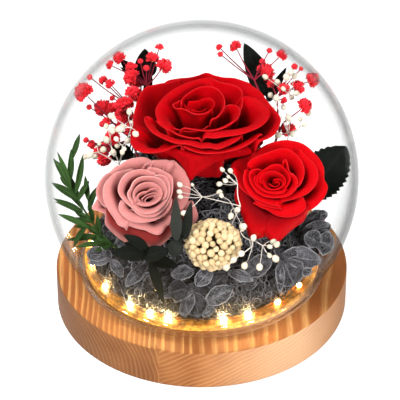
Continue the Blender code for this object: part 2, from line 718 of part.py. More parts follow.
def floret(order, place, radius, turn):
    """Four rounded petals that meet in the middle, on a short stem."""
    centre = seen(*place)
    axis = (centre - Vector(FLORET_AIM)).normalized()
    side = axis.orthogonal().normalized()
    other = axis.cross(side)
    made = bmesh.new()
    middle = made.verts.new(centre)
    edge = []
    for quarter in range(4):
        for degrees, share, lift in FLORET_EDGE:
            a = math.radians(90 * quarter + degrees + turn)
            reach = radius * share
            edge.append(made.verts.new(centre + reach * (side * math.cos(a) + other * math.sin(a))
                                       + axis * radius * lift))
    for one, two in zip(edge, edge[1:] + edge[:1]):
        made.faces.new((middle, one, two))
    bmesh.ops.recalc_face_normals(made, faces=made.faces)
    bmesh.ops.solidify(made, geom=made.faces[:], thickness=PETAL_THICKNESS)
    inside = centre - axis * FLORET_STEM_LENGTH
    path = [inside, centre - axis * 3.0, centre - axis * 0.1]
    stem = tube(path, [FLORET_STEM_RADIUS] * 3, 4)
    planted(path, FLORET_STEM_RADIUS)
    return fused("hydrangea_floret_%d" % (order + 1), [made, stem], "hydrangea")


def rice_flower():
    centre = seen(*RICE_CENTRE)
    axis = Vector(RICE_AXIS).normalized()
    side = axis.orthogonal().normalized()
    other = axis.cross(side)
    root = Vector(RICE_ROOT)
    path = [root, root.lerp(centre, 0.6), centre]
    shells = [tube(path, [RICE_STEM_RADIUS] * 3, 4)]
    planted(path, RICE_STEM_RADIUS)
    core = ball(Vector(), RICE_RADIUS + BERRY_RADIUS / 8)
    squash = Matrix((side, other, axis)).transposed()
    for vert in core.verts:
        vert.co = squash @ Vector((vert.co.x, vert.co.y, vert.co.z * RICE_DEPTH / RICE_RADIUS))
        vert.co += centre
    shells.append(core)
    golden = math.pi * (3 - math.sqrt(5))
    for k in range(RICE_BERRIES):
        polar = math.radians(88) * math.sqrt((k + 0.3) / RICE_BERRIES)
        a = golden * k
        place = (side * math.cos(a) + other * math.sin(a)) * math.sin(polar) * RICE_RADIUS
        place += axis * math.cos(polar) * RICE_DEPTH
        shells.append(ball(centre + place, BERRY_RADIUS))
    return fused("rice_flower", shells, "berries", keep=0.65)


def main():
    for thing in list(bpy.data.objects):
        bpy.data.objects.remove(thing)
    wooden_base()
    battery_cover()
    glass_dome()
    light_string()
    for design in (LARGE_ROSE, RIGHT_ROSE, PINK_ROSE):
        rose(design)
    for place, design in (("left", RED_LEFT), ("right", RED_RIGHT)):
        spray("red_babys_breath_" + place, design, "red_babys_breath", 5)
    for place, design in (("left", WHITE_LEFT), ("centre", WHITE_CENTRE),
                          ("right", WHITE_RIGHT), ("back", WHITE_BACK)):
        spray("white_babys_breath_" + place, design, "white_babys_breath", 4)
    needle_sprig()
    leafy_sprig("ruscus_sprig_tall", RUSCUS_TALL, "dark_leaf")
    leafy_sprig("ruscus_sprig_low", RUSCUS_LOW, "dark_leaf")
    leafy_sprig("rose_leaf", ROSE_LEAF, "dark_leaf")
    leafy_sprig("dark_leaf_left", DARK_LEAF_LEFT, "dark_leaf")
    leafy_sprig("dark_leaf_right", DARK_LEAF_RIGHT, "dark_leaf")
    for order, (place, radius, turn) in enumerate(FLORETS):
        floret(order, place, radius, turn)
    rice_flower()
    moss_bed()


main()
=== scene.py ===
"""The looks of preserved roses in a round glass dome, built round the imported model.

Lengths are in millimetres and become metres where a mesh is made. Materials work in millimetres too.
"""
import math
import random

import bpy
from mathutils import Matrix, Vector, noise


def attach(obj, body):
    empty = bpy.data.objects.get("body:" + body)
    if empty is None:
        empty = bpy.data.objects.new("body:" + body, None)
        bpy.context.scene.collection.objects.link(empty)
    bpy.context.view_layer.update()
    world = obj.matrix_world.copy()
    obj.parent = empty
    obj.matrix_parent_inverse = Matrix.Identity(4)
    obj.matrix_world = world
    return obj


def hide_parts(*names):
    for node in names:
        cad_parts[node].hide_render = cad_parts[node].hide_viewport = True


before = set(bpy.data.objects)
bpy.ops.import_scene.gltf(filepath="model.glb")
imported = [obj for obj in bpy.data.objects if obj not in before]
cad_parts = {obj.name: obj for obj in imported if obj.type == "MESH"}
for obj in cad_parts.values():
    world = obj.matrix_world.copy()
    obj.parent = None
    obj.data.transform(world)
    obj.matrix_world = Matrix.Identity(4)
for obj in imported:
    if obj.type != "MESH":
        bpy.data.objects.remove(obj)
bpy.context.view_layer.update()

MM = 0.001

# Camera
LENS = 216.0
SENSOR = 36.0
CAMERA_PLACE = (-0.8, -937.9, 729.9)
CAMERA_TILT = math.radians(35.6)

# Wooden base, as in the CAD model
BASE_RADIUS = 71.0
BASE_HEIGHT = 21.0
BASE_FOOT_ROUND = 1.6
BASE_EDGE_ROUND = 0.6
PLATEAU_RADIUS = 57.0
PLATEAU_TOP = 26.0
COVER_RADIUS = 25.0
COVER_RECESS = 2.7
SEAM = -20.0                  # where the base's two boards meet, across
PITH_LEFT = (-80.0, -2.0)     # middles of the growth rings of the left and right board: (x, z)
PITH_RIGHT = (96.0, -165.0)
RING_WIDTH = 2.1

# Glass dome
GAP = 0.3
DOME_RADIUS = 75.0
DOME_WALL = 1.9
DOME_CENTRE_Z = 72.0
COLLAR_RADIUS = 60.0
WITHIN = 71.6                 # everything inside stays this near to the dome's centre

# Moss and lamps
MOUND_RADIUS = 51.0
MOUND_HEIGHT = 40.0
MOUND_POWER = 0.55
LAMP_RING_RADIUS = 53.9
LAMP_HEIGHT = PLATEAU_TOP + GAP + 1.2
LAMP_RADIUS = 1.2
LAMP_LENGTH = 3.0
WIRE_RADIUS = 0.3
# Degrees round the ring, from the front to the right
LAMP_TURNS = [-142, -120, -101, -80, -59, -39, -27, -17, 11, 24, 42, 60, 82, 104, 127, 149, 171]
LAMP_DIM = {-80: 0.5, -59: 0.7, 42: 0.3, 60: 0.12, 82: 0.2}    # the weaker lamps

FLOOR_RADIUS = 1400.0

# The photograph: where the dome's centre is in it, and its pixels for each millimetre
PHOTO_CENTRE = (201.3, 176.0)
PHOTO_SCALE = 2.092
VIEW_TILT = math.radians(36)
EYE_DISTANCE = 1147.0

PETAL_THICKNESS = 0.5
PETAL_FOOT = 0.42
PETAL_FULL = 0.62
END_REACH = 1.6               # how a petal's side turns down where its rim ends
END_TUCK = 1.0
END_DROP = 6.0
LIP_START = 0.74              # where along a petal its lip starts to roll over, and how far
LIP_OUT = 0.75
LIP_DOWN = 0.85
LIP_FADE = 8.0                # how soon the roll starts from a rim's ends
LIP_BACK = 0.12               # how much of the roll is left where a rim is turned away

# Roses. A petal's rim is read off an enlargement of the photograph, in the enlargement's own pixels
# from one end to the other, with its height along the rose's axis at its first, middle and last
# point. Then how far the rim leans out, how far the part that leans reaches down, and how far the
# lip rolls over. A petal marked "falls" arches over and hangs down.
# Each rose's bud range, lift and fall carry painted light and shade: the bud range keeps the closed heart darker,
# lift paints the petals that face the front lighter towards their foot, and fall sets how far the painted shade
# climbs up each petal.
LARGE_ROSE = {
    "name": "large_rose", "slot": "red", "bud_shade_from": 0.05, "bud_shade_to": 0.93,
    "lip": 3.3, "lift": 0.36, "fall": 1.1,
    "origin": (2.0, 9.4, 80.8),
    "axis": (0.0, -0.09, 1.0),
    "root": (1.0, 9.0, 56.0),
    "close_up": (125.0, 65.0, 9.8),
    "step": 0.8,
    "nodes": 14,
    "bud": [
        ([(690, 440), (650, 425), (640, 400), (665, 375), (715, 362), (770, 350), (812, 352)],
         (24.5, 25.0, 25.5), 0.6, 6, 0.2),
        ([(800, 425), (760, 445), (700, 452), (645, 437), (612, 408), (640, 385), (690, 368)],
         (25.5, 26.0, 26.0), 0.8, 6, 0.3),
        ([(582, 388), (605, 425), (650, 462), (705, 480), (762, 474), (815, 454), (858, 420),
          (874, 380), (864, 345), (825, 318), (770, 322), (715, 343), (660, 352), (620, 362)],
         (27.5, 27.8, 28.0), 1.6, 8, 0.5),
    ],
    "petals": [
        ([(548, 385), (555, 325), (600, 275), (665, 233), (740, 206), (820, 202), (890, 223),
          (942, 268), (970, 330), (968, 400), (942, 462), (900, 512), (845, 545)],
         (27.0, 27.4, 25.5), 1.8, 8, 0.9),
        ([(560, 345), (500, 362), (472, 385), (492, 418), (545, 424), (592, 440), (655, 476),
          (735, 484), (800, 470), (850, 440)], (26.5, 28.2, 27.0), 3.2, 8, 0.6),
        ([(430, 560), (455, 610), (520, 640), (600, 650), (680, 645), (760, 630), (820, 600)],
         (22.5, 23.5, 23.0), 1.6, 7, 0.5),
        ([(880, 128), (780, 120), (680, 142), (580, 178), (480, 235), (380, 312), (310, 388),
          (286, 450), (300, 520), (340, 590), (400, 640)], (26.5, 27.0, 24.0), 6.0, 4, 1.2),
        ([(850, 140), (920, 155), (1000, 172), (1070, 190), (1122, 218), (1150, 262), (1147, 330),
          (1136, 400), (1122, 450)], (26.5, 26.0, 24.5), 2.5, 8, 0.8),
        ([(985, 415), (1005, 392), (1052, 383), (1106, 402), (1121, 460), (1095, 525), (1030, 580),
          (950, 622), (850, 647), (740, 650), (640, 640), (548, 630)], (25.5, 26.0, 25.0), 3.0, 6, 0.8),
        ([(305, 545), (355, 605), (420, 640), (500, 682), (580, 708), (655, 724), (730, 728)],
         (24.5, 24.8, 24.5), 2.5, 7, 0.8),
        ([(1150, 312), (1230, 307), (1312, 335), (1377, 385), (1414, 440), (1410, 495), (1372, 552),
          (1312, 606), (1232, 646), (1140, 680), (1050, 697), (960, 708), (870, 722), (770, 724)],
         (25.5, 25.0, 24.0), 6.0, 4, 1.4),
        ([(232, 520), (205, 503), (186, 535), (213, 602), (265, 662), (332, 702), (420, 747),
          (500, 776), (580, 784), (660, 802), (740, 824), (820, 816), (900, 828), (980, 802),
          (1062, 763), (1122, 720), (1144, 690)], (25.0, 23.5, 23.0), 3.4, 6, 1.4),
        ([(1345, 680), (1285, 730), (1200, 785), (1110, 827), (1010, 851), (900, 864), (800, 870),
          (700, 862), (625, 840), (555, 808)], (21.0, 20.5, 21.0), 4.0, 6, 1.2),
        ([(390, 165), (500, 128), (620, 112), (720, 88), (795, 63), (870, 88), (960, 106),
          (1060, 112), (1140, 140), (1230, 190)], (22.5, 23.5, 22.5), 4.0, 7, 1.2),
        ([(540, 140), (430, 152), (300, 176), (195, 212), (135, 300), (102, 400), (84, 500),
          (80, 600), (100, 660)], (23.0, 22.0, 20.5), 5.0, 6, 1.4),
        ([(1120, 135), (1230, 190), (1312, 250), (1372, 330), (1442, 405), (1500, 470), (1528, 525),
          (1507, 600), (1470, 672), (1400, 722), (1310, 762)], (22.5, 21.5, 20.5), 5.0, 6, 1.2),
        ([(330, 850), (430, 882), (520, 942), (588, 1040), (634, 1138), (700, 1068), (800, 1000),
          (905, 952), (1005, 915), (1105, 897), (1215, 880)],
         (16.2, 14.8, 12.1, 8.3, 4.0, 7.3, 10.6, 11.8, 13.3, 13.6, 14.5), 24.5, 17.8, 0.5, "falls"),
        ([(85, 600), (52, 700), (58, 775), (110, 832), (190, 862), (270, 867), (350, 857),
          (420, 836), (480, 806), (545, 800)], (20.5, 19.5, 21.0), 6.0, 5, 1.6),
        ([(690, 1075), (770, 1100), (850, 1092), (920, 1094), (955, 1010), (940, 960)],
         (3.0, 1.5, 6.0), 19.0, 12.0, 0.3, "falls"),
    ],
}
RIGHT_ROSE = {
    "name": "right_rose", "slot": "red", "bud_shade_from": 0.20, "bud_shade_to": 0.90,
    "lip": 2.9, "lift": 0.2, "fall": 1.3,
    "origin": (38.6, -20.0, 76.0),
    "axis": (-0.18, -0.60, 0.78),
    "root": (27.0, -4.0, 50.0),
    "close_up": (225.0, 130.0, 13.067),
    "step": 0.8,
    "nodes": 8,
    "bud": [
        ([(560, 705), (600, 740), (660, 745), (705, 715), (690, 685), (640, 690)],
         (17.2, 17.4, 17.2), 1.4, 2.8, 0.2),
        ([(480, 665), (505, 735), (570, 780), (650, 790), (730, 765), (765, 705), (745, 660),
          (690, 640), (620, 655)], (17.6, 17.8, 17.2), 1.9, 2.8, 0.3),
        ([(455, 700), (440, 640), (455, 585), (510, 545), (585, 530), (660, 545), (735, 590),
          (785, 650), (780, 715), (745, 765)], (17.5, 18.6, 17.5), 3.1, 3.3, 0.4),
        ([(408, 690), (405, 630), (425, 580), (480, 535), (540, 497), (605, 464), (690, 455),
          (752, 485), (802, 535), (846, 592), (852, 660), (826, 722), (788, 780)],
         (17.8, 18.6, 17.6), 3.5, 3.9, 0.5),
        ([(380, 600), (366, 662), (400, 732), (462, 792), (540, 830), (620, 846), (700, 842),
          (765, 822), (800, 788)], (18.0, 17.8, 17.6), 3.5, 3.9, 0.5),
    ],
    "petals": [
        ([(470, 528), (400, 511), (332, 521), (300, 562), (298, 640), (322, 706), (372, 782),
          (432, 836), (505, 874), (600, 893), (700, 893), (800, 872), (864, 832), (912, 772),
          (941, 700), (932, 640), (900, 592), (862, 562)], (16.5, 16.6, 16.5), 4.6, 3.9, 0.8),
        ([(745, 450), (765, 408), (790, 400), (812, 450), (836, 540), (880, 600)],
         (16.8, 16.8, 16.6), 3.6, 3.3, 0.5),
        ([(285, 470), (330, 392), (430, 342), (520, 302), (620, 262), (700, 236), (782, 235),
          (852, 268), (932, 340), (992, 420), (1022, 500), (1027, 580), (1010, 650), (972, 722),
          (928, 765)], (15.5, 16.0, 15.5), 5.7, 3.9, 0.8),
        ([(262, 520), (235, 590), (231, 660), (250, 732), (300, 812), (370, 882), (440, 932),
          (530, 972), (620, 1000), (700, 1000)], (15.5, 15.4, 15.0), 4.2, 3.9, 0.7),
        ([(960, 262), (1060, 340), (1140, 412), (1190, 490), (1211, 570), (1210, 645), (1180, 730),
          (1120, 802), (1040, 852), (960, 882), (860, 912), (780, 932), (722, 962)],
         (12.5, 13.5, 14.0), 7.3, 3.3, 1.0),
        ([(95, 470), (115, 560), (155, 645), (185, 735), (250, 812), (330, 872), (400, 930),
          (470, 976), (560, 1012), (640, 1040), (720, 1046)], (11.5, 13.5, 14.0), 5.4, 3.9, 0.7),
        ([(330, 345), (380, 292), (462, 240), (545, 188), (640, 148), (760, 121), (880, 134),
          (1000, 173), (1090, 232), (1162, 300), (1222, 372), (1262, 450), (1277, 520), (1278, 590)],
         (11.0, 10.5, 10.0), 9, 3.3, 1.2),
        ([(360, 962), (450, 1022), (550, 1062), (650, 1112), (780, 1137), (900, 1130), (1000, 1082),
          (1052, 1010), (1038, 930), (1010, 880)], (12.5, 12.0, 12.5), 9, 2.8, 1.0),
        ([(1255, 560), (1290, 660), (1331, 740), (1322, 830), (1290, 902), (1220, 972), (1130, 1032),
          (1060, 1066)], (9.0, 8.0, 8.5), 8.4, 3.3, 1.2),
        ([(330, 330), (230, 348), (150, 388), (98, 440), (78, 500), (110, 590)],
         (10.5, 10.0, 9.5), 8.4, 3.3, 1.0),
        ([(140, 780), (138, 880), (160, 980), (200, 1080), (240, 1180), (270, 1290), (310, 1400),
          (400, 1410), (480, 1390)], (8.0, 4.0, 3.0), 15.0, 11.3, 0.5, "falls"),
        ([(430, 1250), (480, 1330), (540, 1410), (620, 1470), (690, 1455), (760, 1392), (850, 1312),
          (930, 1245), (1010, 1190), (1060, 1115), (1085, 1060)], (5.0, 3.0, 7.0), 14.5, 10.8, 0.5, "falls"),
    ],
}
PINK_ROSE = {
    "name": "pink_rose", "slot": "pink", "bud_shade_from": 0.30, "bud_shade_to": 0.93,
    "lip": 2.7, "lift": 0.0, "fall": 2.3,
    "origin": (-30.6, -25.6, 73.4),
    "axis": (0.20, -0.62, 0.75),
    "root": (-21.0, -9.0, 51.0),
    "close_up": (85.0, 150.0, 13.067),
    "step": 0.8,
    "nodes": 8,
    "bud": [
        ([(800, 700), (785, 665), (812, 628), (862, 604), (915, 608), (925, 640), (890, 672)],
         (14.5, 14.8, 14.5), 1.4, 2.8, 0.2),
        ([(752, 708), (742, 655), (780, 606), (845, 574), (915, 560), (957, 588), (952, 640),
          (905, 685), (840, 706)], (15.2, 15.6, 15.2), 1.8, 2.8, 0.3),
        ([(712, 712), (680, 668), (668, 620), (700, 575), (760, 545), (815, 540), (850, 512),
          (925, 505), (975, 535), (985, 590), (960, 645), (900, 695)], (16.0, 16.4, 15.8), 2.3, 3.3, 0.4),
        ([(652, 692), (620, 620), (630, 540), (690, 466), (770, 431), (860, 429), (940, 465),
          (992, 515), (1010, 570), (1000, 632), (950, 690), (880, 726), (800, 746), (720, 736),
          (665, 712)], (17.0, 17.4, 17.0), 3.5, 3.9, 0.5),
    ],
    "petals": [
        ([(612, 722), (560, 642), (543, 570), (588, 490), (625, 420), (700, 366), (800, 345),
          (885, 352), (960, 372), (1020, 425), (1055, 500), (1062, 570), (1040, 650)],
         (16.8, 17.4, 16.8), 3.8, 3.9, 0.6),
        ([(890, 350), (965, 325), (1040, 352), (1085, 420), (1098, 500), (1092, 590), (1060, 680),
          (1000, 760), (920, 815), (830, 840), (740, 835), (660, 795), (615, 745)],
         (16.6, 16.6, 16.6), 3.8, 3.9, 0.6),
        ([(650, 800), (560, 722), (482, 650), (427, 572), (416, 500), (450, 410), (512, 338),
          (592, 293), (690, 264), (790, 264), (880, 298), (925, 328)], (15.8, 16.4, 16.0), 5.7, 3.9, 0.8),
        ([(820, 236), (870, 230), (965, 250), (1062, 298), (1131, 350), (1143, 430), (1134, 530),
          (1112, 622), (1070, 722), (1010, 812), (940, 868), (860, 890), (760, 882), (680, 845),
          (620, 792)], (15.6, 15.6, 15.6), 5.4, 3.9, 0.8),
        ([(465, 670), (440, 722), (436, 790), (480, 862), (560, 922), (650, 952), (760, 962),
          (880, 942), (965, 900), (1042, 842), (1108, 742), (1132, 640)], (14.5, 14.4, 14.4), 5.7, 3.9, 0.9),
        ([(620, 236), (545, 250), (470, 275), (398, 300), (320, 372), (255, 450), (232, 540),
          (240, 640), (280, 742), (330, 832), (372, 902), (420, 990), (520, 1040)],
         (12.0, 12.5, 12.5), 7.6, 3.3, 1.0),
        ([(500, 990), (560, 985), (620, 1010), (700, 1045), (780, 1062), (860, 1096), (945, 1114),
          (1005, 1082), (1055, 1012), (1112, 962), (1150, 880)], (12.5, 11.5, 12.0), 6.9, 3.3, 0.9),
        ([(330, 300), (402, 232), (472, 182), (560, 140), (650, 110), (740, 90), (812, 108),
          (866, 142), (880, 180)], (9.5, 10.0, 10.5), 9, 3.3, 1.2),
        ([(760, 215), (810, 175), (875, 138), (962, 120), (1062, 124), (1115, 152), (1150, 200)],
         (10.8, 10.8, 10.8), 7.4, 3.3, 0.9),
        ([(1075, 180), (1095, 145), (1150, 130), (1222, 190), (1292, 262), (1332, 342), (1361, 420),
          (1364, 520), (1352, 602), (1332, 682), (1300, 742), (1262, 800)], (10.0, 8.5, 8.0), 9, 3.3, 1.2),
        ([(420, 215), (330, 288), (250, 330), (190, 402), (150, 490), (134, 570), (160, 650),
          (220, 722), (272, 765)], (9.0, 8.5, 8.0), 9, 3.3, 1.2),
        ([(160, 610), (122, 692), (93, 766), (150, 792), (225, 818), (290, 850)],
         (6.5, 5.5, 6.0), 7.4, 3.3, 0.8),
        ([(262, 800), (262, 880), (272, 960), (312, 1030), (372, 1106), (455, 1166), (552, 1218),
          (600, 1200)], (7.0, 5.0, 4.0), 14.0, 10.0, 0.5, "falls"),
        ([(440, 1060), (500, 1130), (565, 1182), (645, 1232), (742, 1272), (828, 1290), (862, 1306),
          (905, 1290), (965, 1256), (1040, 1200), (1110, 1120)], (7.0, 3.5, 6.0), 15.0, 10.0, 0.5, "falls"),
        ([(1385, 660), (1420, 702), (1452, 782), (1467, 880), (1442, 942), (1370, 985), (1290, 1010)],
         (4.0, 3.0, 3.0), 8.4, 3.3, 0.9),
    ],
}

# Sprays. Heads and forks are read off the photograph: pixels across and down, then the head's
# radius in pixels; a fork's last number is how far it lies behind the dome's centre.
RED_LEFT = {
    "root": (-26.0, 22.0, 52.0), "trunk": (132, 138, 12),
    "forks": [(113, 122, 6), (128, 103, 4), (147, 84, 14), (112, 145, 4)],
    "heads": [(83.5, 91.5, 9.8), (88, 75, 3.2), (106.5, 59.5, 4.6), (119.5, 57, 7), (103, 79, 4.6),
              (110, 83, 5.4), (131.5, 76, 8.8), (133, 94, 9.4), (152, 57, 6.6), (159, 46, 4.4),
              (164, 65, 8), (102.5, 107, 9), (89, 106, 3.2), (112, 97, 3), (111, 108, 7),
              (124, 114, 9.4), (112, 137, 8.2), (86, 139, 3.2), (92, 143.5, 5), (103, 149, 7.4),
              (104, 157.5, 8), (102, 123, 3.4), (120, 104, 6.8), (146, 67, 3.4), (128, 128, 6.4),
              (119, 124, 5.8), (106, 121, 4.4), (137, 82, 5), (127, 102, 7), (131, 67, 6.6), (97, 150, 4),
              (140, 60, 3)],
}
RED_RIGHT = {
    "root": (26.0, 24.0, 51.0), "trunk": (279, 130, 14),
    "forks": [(289, 117, 9), (277, 96, 11), (254, 79, 16)],
    "heads": [(219, 46, 3.7), (220, 53, 3.2), (235, 45, 6.2), (265, 71, 9.5), (262, 60, 3.2),
              (281, 54, 6), (269, 49.5, 3), (271, 82.5, 5), (294, 65.5, 3.5), (301, 67, 2.5),
              (297, 86, 7.5), (283, 88, 6.5), (311, 79, 8), (304, 105, 8), (283, 99, 4),
              (288, 128, 7.5)],
}
WHITE_LEFT = {
    "root": (-36.0, 3.0, 47.0), "trunk": (119, 164, -12),
    "forks": [(122, 145, -23), (111, 146, -16), (131, 128, -24), (98, 152, -10)],
    "heads": [(129, 112, 3.2), (135, 134, 3.4), (127.5, 140.5, 3.6), (119.5, 129, 4), (122, 126.5, 3),
              (112, 130, 3.8), (106, 139.5, 3.8), (103, 149, 3.4), (113, 152, 3.4), (85.5, 156, 3),
              (111, 116, 3.4), (90, 154.5, 3.6), (122, 152, 2.8), (106, 126, 2.8), (95, 156, 3),
              (117, 146, 2.6), (124, 149, 2.4), (131, 122, 2), (116, 139, 2.8), (99, 143, 2.4)],
}
WHITE_CENTRE = {
    "root": (12.0, -24.0, 54.0), "trunk": (240, 206, -27),
    "forks": [(237, 184, -27), (202, 197, -28), (233, 208, -29)],
    "heads": [(222, 170, 2.4), (230, 171, 2.8), (228, 177, 2), (225, 181, 2.8), (219, 184, 2.8),
              (219, 192.5, 3), (221, 196, 2.4), (179.5, 185, 2.8), (179, 192, 2.8), (180, 197, 2.6),
              (183, 213, 2.8), (237, 210, 3), (230.5, 216, 3.2), (242, 227, 3.6), (192, 185, 1.8)],
}
WHITE_RIGHT = {
    "root": (24.0, -30.0, 46.0), "trunk": (249, 240, -29),
    "forks": [(252, 246, -34), (262, 246, -36), (240, 232, -34)],
    "heads": [(253, 238, 3.2), (273, 242, 3), (276, 245, 3.2), (269, 247, 2.6), (269, 256, 2.6),
              (275, 259, 3.8), (259, 267.5, 3.6), (244, 266, 3.6), (241, 254, 3.4),
              (233, 260, 3.4), (226, 267.5, 3.6), (243, 227, 3.6)],
}
WHITE_BACK = {
    "root": (36.0, 12.0, 45.0), "trunk": (288, 134, 8),
    "forks": [(286, 112, 7), (298, 128, 6), (289, 93, 8), (276, 104, 6)],
    "heads": [(276, 97, 3.6), (308, 112, 3.4), (265, 76, 3), (277, 81, 3.4), (290, 71, 3.4),
              (278, 134, 3.4), (291, 96, 3.2), (288, 117, 3.8), (292, 133, 3), (286, 76, 3.8),
              (294, 75, 3.2), (283, 88, 2.6), (296, 92, 3.2), (283, 106, 3), (270, 94, 2.8),
              (300, 118, 2.6), (272, 108, 2.6), (304, 124, 2.4)],
}

# Leaves: base and tip in the photograph with how far behind the dome's centre each is, then width
NEEDLE_STEM = [(112, 244, -9), (99, 231, -8), (89, 217, -7), (80, 203, -6), (72, 190, -5),
               (65, 178, -4)]
NEEDLES = [
    ((72, 191, -5), (50, 157, 2), 5.6), ((71, 188, -5), (57, 151, -6), 4.2),
    ((69, 183, -5), (71, 148, -4), 5.4), ((71, 160, -4), (79.5, 133, 4), 4.6),
    ((80, 201, -6), (50, 182, -2), 6.4), ((83, 211, -7), (53, 198, -10), 5.0),
    ((86, 216, -7), (55, 201, 0), 3.4), ((90, 228, -8), (58, 213.5, -6), 5.2),
    ((97, 235, -9), (66, 240, -14), 4.6), ((86, 226, -8), (73.5, 247, -18), 5.0),
    ((105, 242, -10), (75, 247, -22), 4.4), ((88, 200, -3), (85, 175, 2), 4.6),
    ((75, 194, -5), (83, 153, 4), 5.2), ((88, 204, -5), (97, 186, -8), 5.0),
    ((88, 210, -6), (95, 193, -2), 4.4), ((80, 199, -5), (66, 170, 6), 4.4),
    ((93, 222, -6), (88, 200, -12), 4.4), ((100, 234, -9), (97, 214, -12), 4.6),
    ((101, 236, -9), (84, 222, 2), 4.6), ((84, 227, -8), (74, 226, -12), 3.0),
    ((92, 222, -7), (68, 219, 6), 4.4), ((109, 243, -10), (90, 238, -2), 4.6),
    ((74, 190, -5), (60, 176, 8), 4.2), ((66, 180, -4), (57, 160, 8), 4.2),
    ((108, 243, -10), (80, 233, -4), 5.0), ((104, 240, -9), (92, 226, 2), 4.6),
    ((112, 244, -9), (94, 251, -20), 4.8), ((98, 232, -8), (77, 222, 0), 5.0),
    ((90, 220, -7), (74, 209, 4), 4.6), ((84, 210, -7), (70, 196, 6), 4.6),
    ((78, 200, -6), (89, 180, 0), 4.8), ((110, 244, -9), (84, 243, -12), 4.6),
]
RUSCUS_TALL = {
    "root": (-12.0, -38.0, 46.0),
    "leaves": [((176, 242, -38), (175.5, 198, -46), 11, 1.0),
               ((184, 240, -36), (191, 202, -42), 10, 0.2),
               ((176, 240, -38), (173.4, 259, -41), 15, 0.3)],
}
RUSCUS_LOW = {
    "root": (-24.0, -36.0, 42.0),
    "leaves": [((146, 256, -36), (111, 253, -38), 16, 0.15),
               ((143, 258, -37), (170, 250.5, -40), 16, 0.15),
               ((147, 249, -39), (123, 235.6, -44), 11, 0.3),
               ((150, 261, -34), (163, 303, -33), 10, 0.1),
               ((152, 257, -33), (124, 243, -36), 15, 0.02),
               ((150, 260, -32), (178, 267, -32), 13, 0.02)],
}
DARK_LEFT = {
    "root": (-16.0, 34.0, 50.0),
    "leaves": [((131, 150, 16), (94, 143, 10), 14, 0.2), ((133, 152, 16), (107, 158, 10), 13, 0.2),
               ((146, 76, 30), (141, 40, 22), 23, 0.2), ((142, 84, 30), (113, 49, 16), 14, 0.2),
               ((146, 82, 28), (120, 66, 22), 9, 0.3), ((148, 90, 26), (148, 60, 14), 9, 0.3)],
}
DARK_RIGHT = {
    "root": (16.0, 36.0, 50.0),
    "leaves": [((266, 94, 32), (246, 34, 22), 25, 0.35), ((268, 100, 30), (286, 66, 22), 10, 0.2)],
}
ROSE_LEAF = {
    "root": (43.0, 12.0, 44.0),
    "leaves": [((300, 205, 2), (346, 146, 2), 46, 0.15)],
}

# Hydrangea: the florets' petals from base to tip as the leaves are given, then width, tone, how
# blunt the tip is and how far it turns its face up
FLORETS = [
    {"middle": (319, 243.6, -2), "petals": [
        ((319, 243.6, -2), (305, 233, -4), 18, 1.2, 0.8, 0.3),
        ((315, 239, -2), (342, 251, 0), 23, 1.3, 0.5, 0.5),
        ((318, 243, 0), (331, 231, 6), 16, 1.1, 0.8, 0.2),
        ((318, 245, -2), (309, 256, 2), 12, 0.5, 0.8, 0.4)]},
    {"middle": (303, 229, 4), "petals": [
        ((299, 235, 4), (319, 208, 8), 14, 0.6, 0.9, 0.2),
        ((301, 233, 2), (330.5, 223, 6), 16, 1.25, 0.9, 0.4),
        ((308, 219, 8), (327, 211, 10), 13, 1.4, 0.9, 0.4),
        ((297, 232, 4), (291, 247, 2), 10, 0.4, 0.7, 0.0)]},
    {"middle": (282, 259, -25), "petals": [
        ((282.5, 259, -25), (288, 244.5, -19), 24, 0.8, 0.9, 0.6),
        ((281, 256, -25), (325, 261.5, -20), 22, 1.1, 0.35, 0.5),
        ((281.5, 259, -26), (300, 291, -26), 29, 0.75, 0.9, 0.1),
        ((301, 268, -22), (316, 277, -22), 12, 1.5, 0.5, 0.3),
        ((280, 262, -26), (279.5, 292.5, -28), 8, 1.2, 0.3, 0.0)]},
    {"middle": (231, 286, -27), "petals": [
        ((271, 257, -24), (245, 275, -28), 19, 0.75, 0.8, 0.4),
        ((227.5, 272, -28), (252.6, 279.5, -29), 11, 1.2, 0.4, 0.4),
        ((226, 273, -26), (208.5, 289, -27), 16, 0.5, 0.9, 0.3),
        ((232, 288, -28), (205, 303, -29), 18, 1.15, 0.7, 0.4),
        ((214, 308, -29), (202, 317, -30), 7, 1.0, 0.5, 0.2)]},
    {"middle": (191, 289, -27), "petals": [
        ((193.6, 271, -25), (171, 275, -27), 14, 1.1, 0.6, 0.5),
        ((211, 269, -26), (196, 285.5, -28), 15, 1.15, 0.8, 0.4),
        ((188, 288.6, -28), (168, 292.5, -28), 21, 0.42, 0.9, 0.2),
        ((188, 285, -27), (211, 291.5, -27), 10, 0.35, 0.8, 0.4),
        ((192.6, 291, -28), (174, 301.5, -29), 6, 1.0, 0.3, 0.4),
        ((192.6, 293, -28), (181, 316.5, -29), 13, 0.8, 0.6, 0.1),
        ((193.6, 293, -28), (198.5, 318.5, -29), 21, 0.55, 0.7, 0.1),
        ((172.5, 276, -24), (159, 289, -26), 10, 0.55, 0.7, 0.3),
        ((160.5, 293, -26), (171, 297.5, -27), 5, 1.2, 0.5, 0.3)]},
    {"middle": (110, 259, -17), "petals": [
        ((107, 256, -17), (86.5, 252.5, -17), 15, 1.0, 0.8, 0.5),
        ((110, 259.5, -17), (88, 262, -19), 9, 1.15, 0.5, 0.5),
        ((110.5, 259, -18), (122.5, 276, -22), 10, 0.9, 0.5, 0.2),
        ((110.5, 259, -16), (106, 248.5, -12), 6, 1.0, 0.6, 0.3),
        ((146.5, 264.5, -26), (125, 285.8, -28), 12, 0.9, 0.4, 0.3),
        ((131, 248, -24), (115.5, 240, -20), 8, 0.8, 0.6, 0.4)]},
]
BACK_FLORETS = [((23.0, 9.5, 54.5), 11.5, 15, 0.9), ((-25.0, 7.0, 54.0), 11.5, 60, 0.9)]
FLORET_AIM = (0.0, 0.0, 24.0)
FLORET_STEM_LENGTH = 15.0

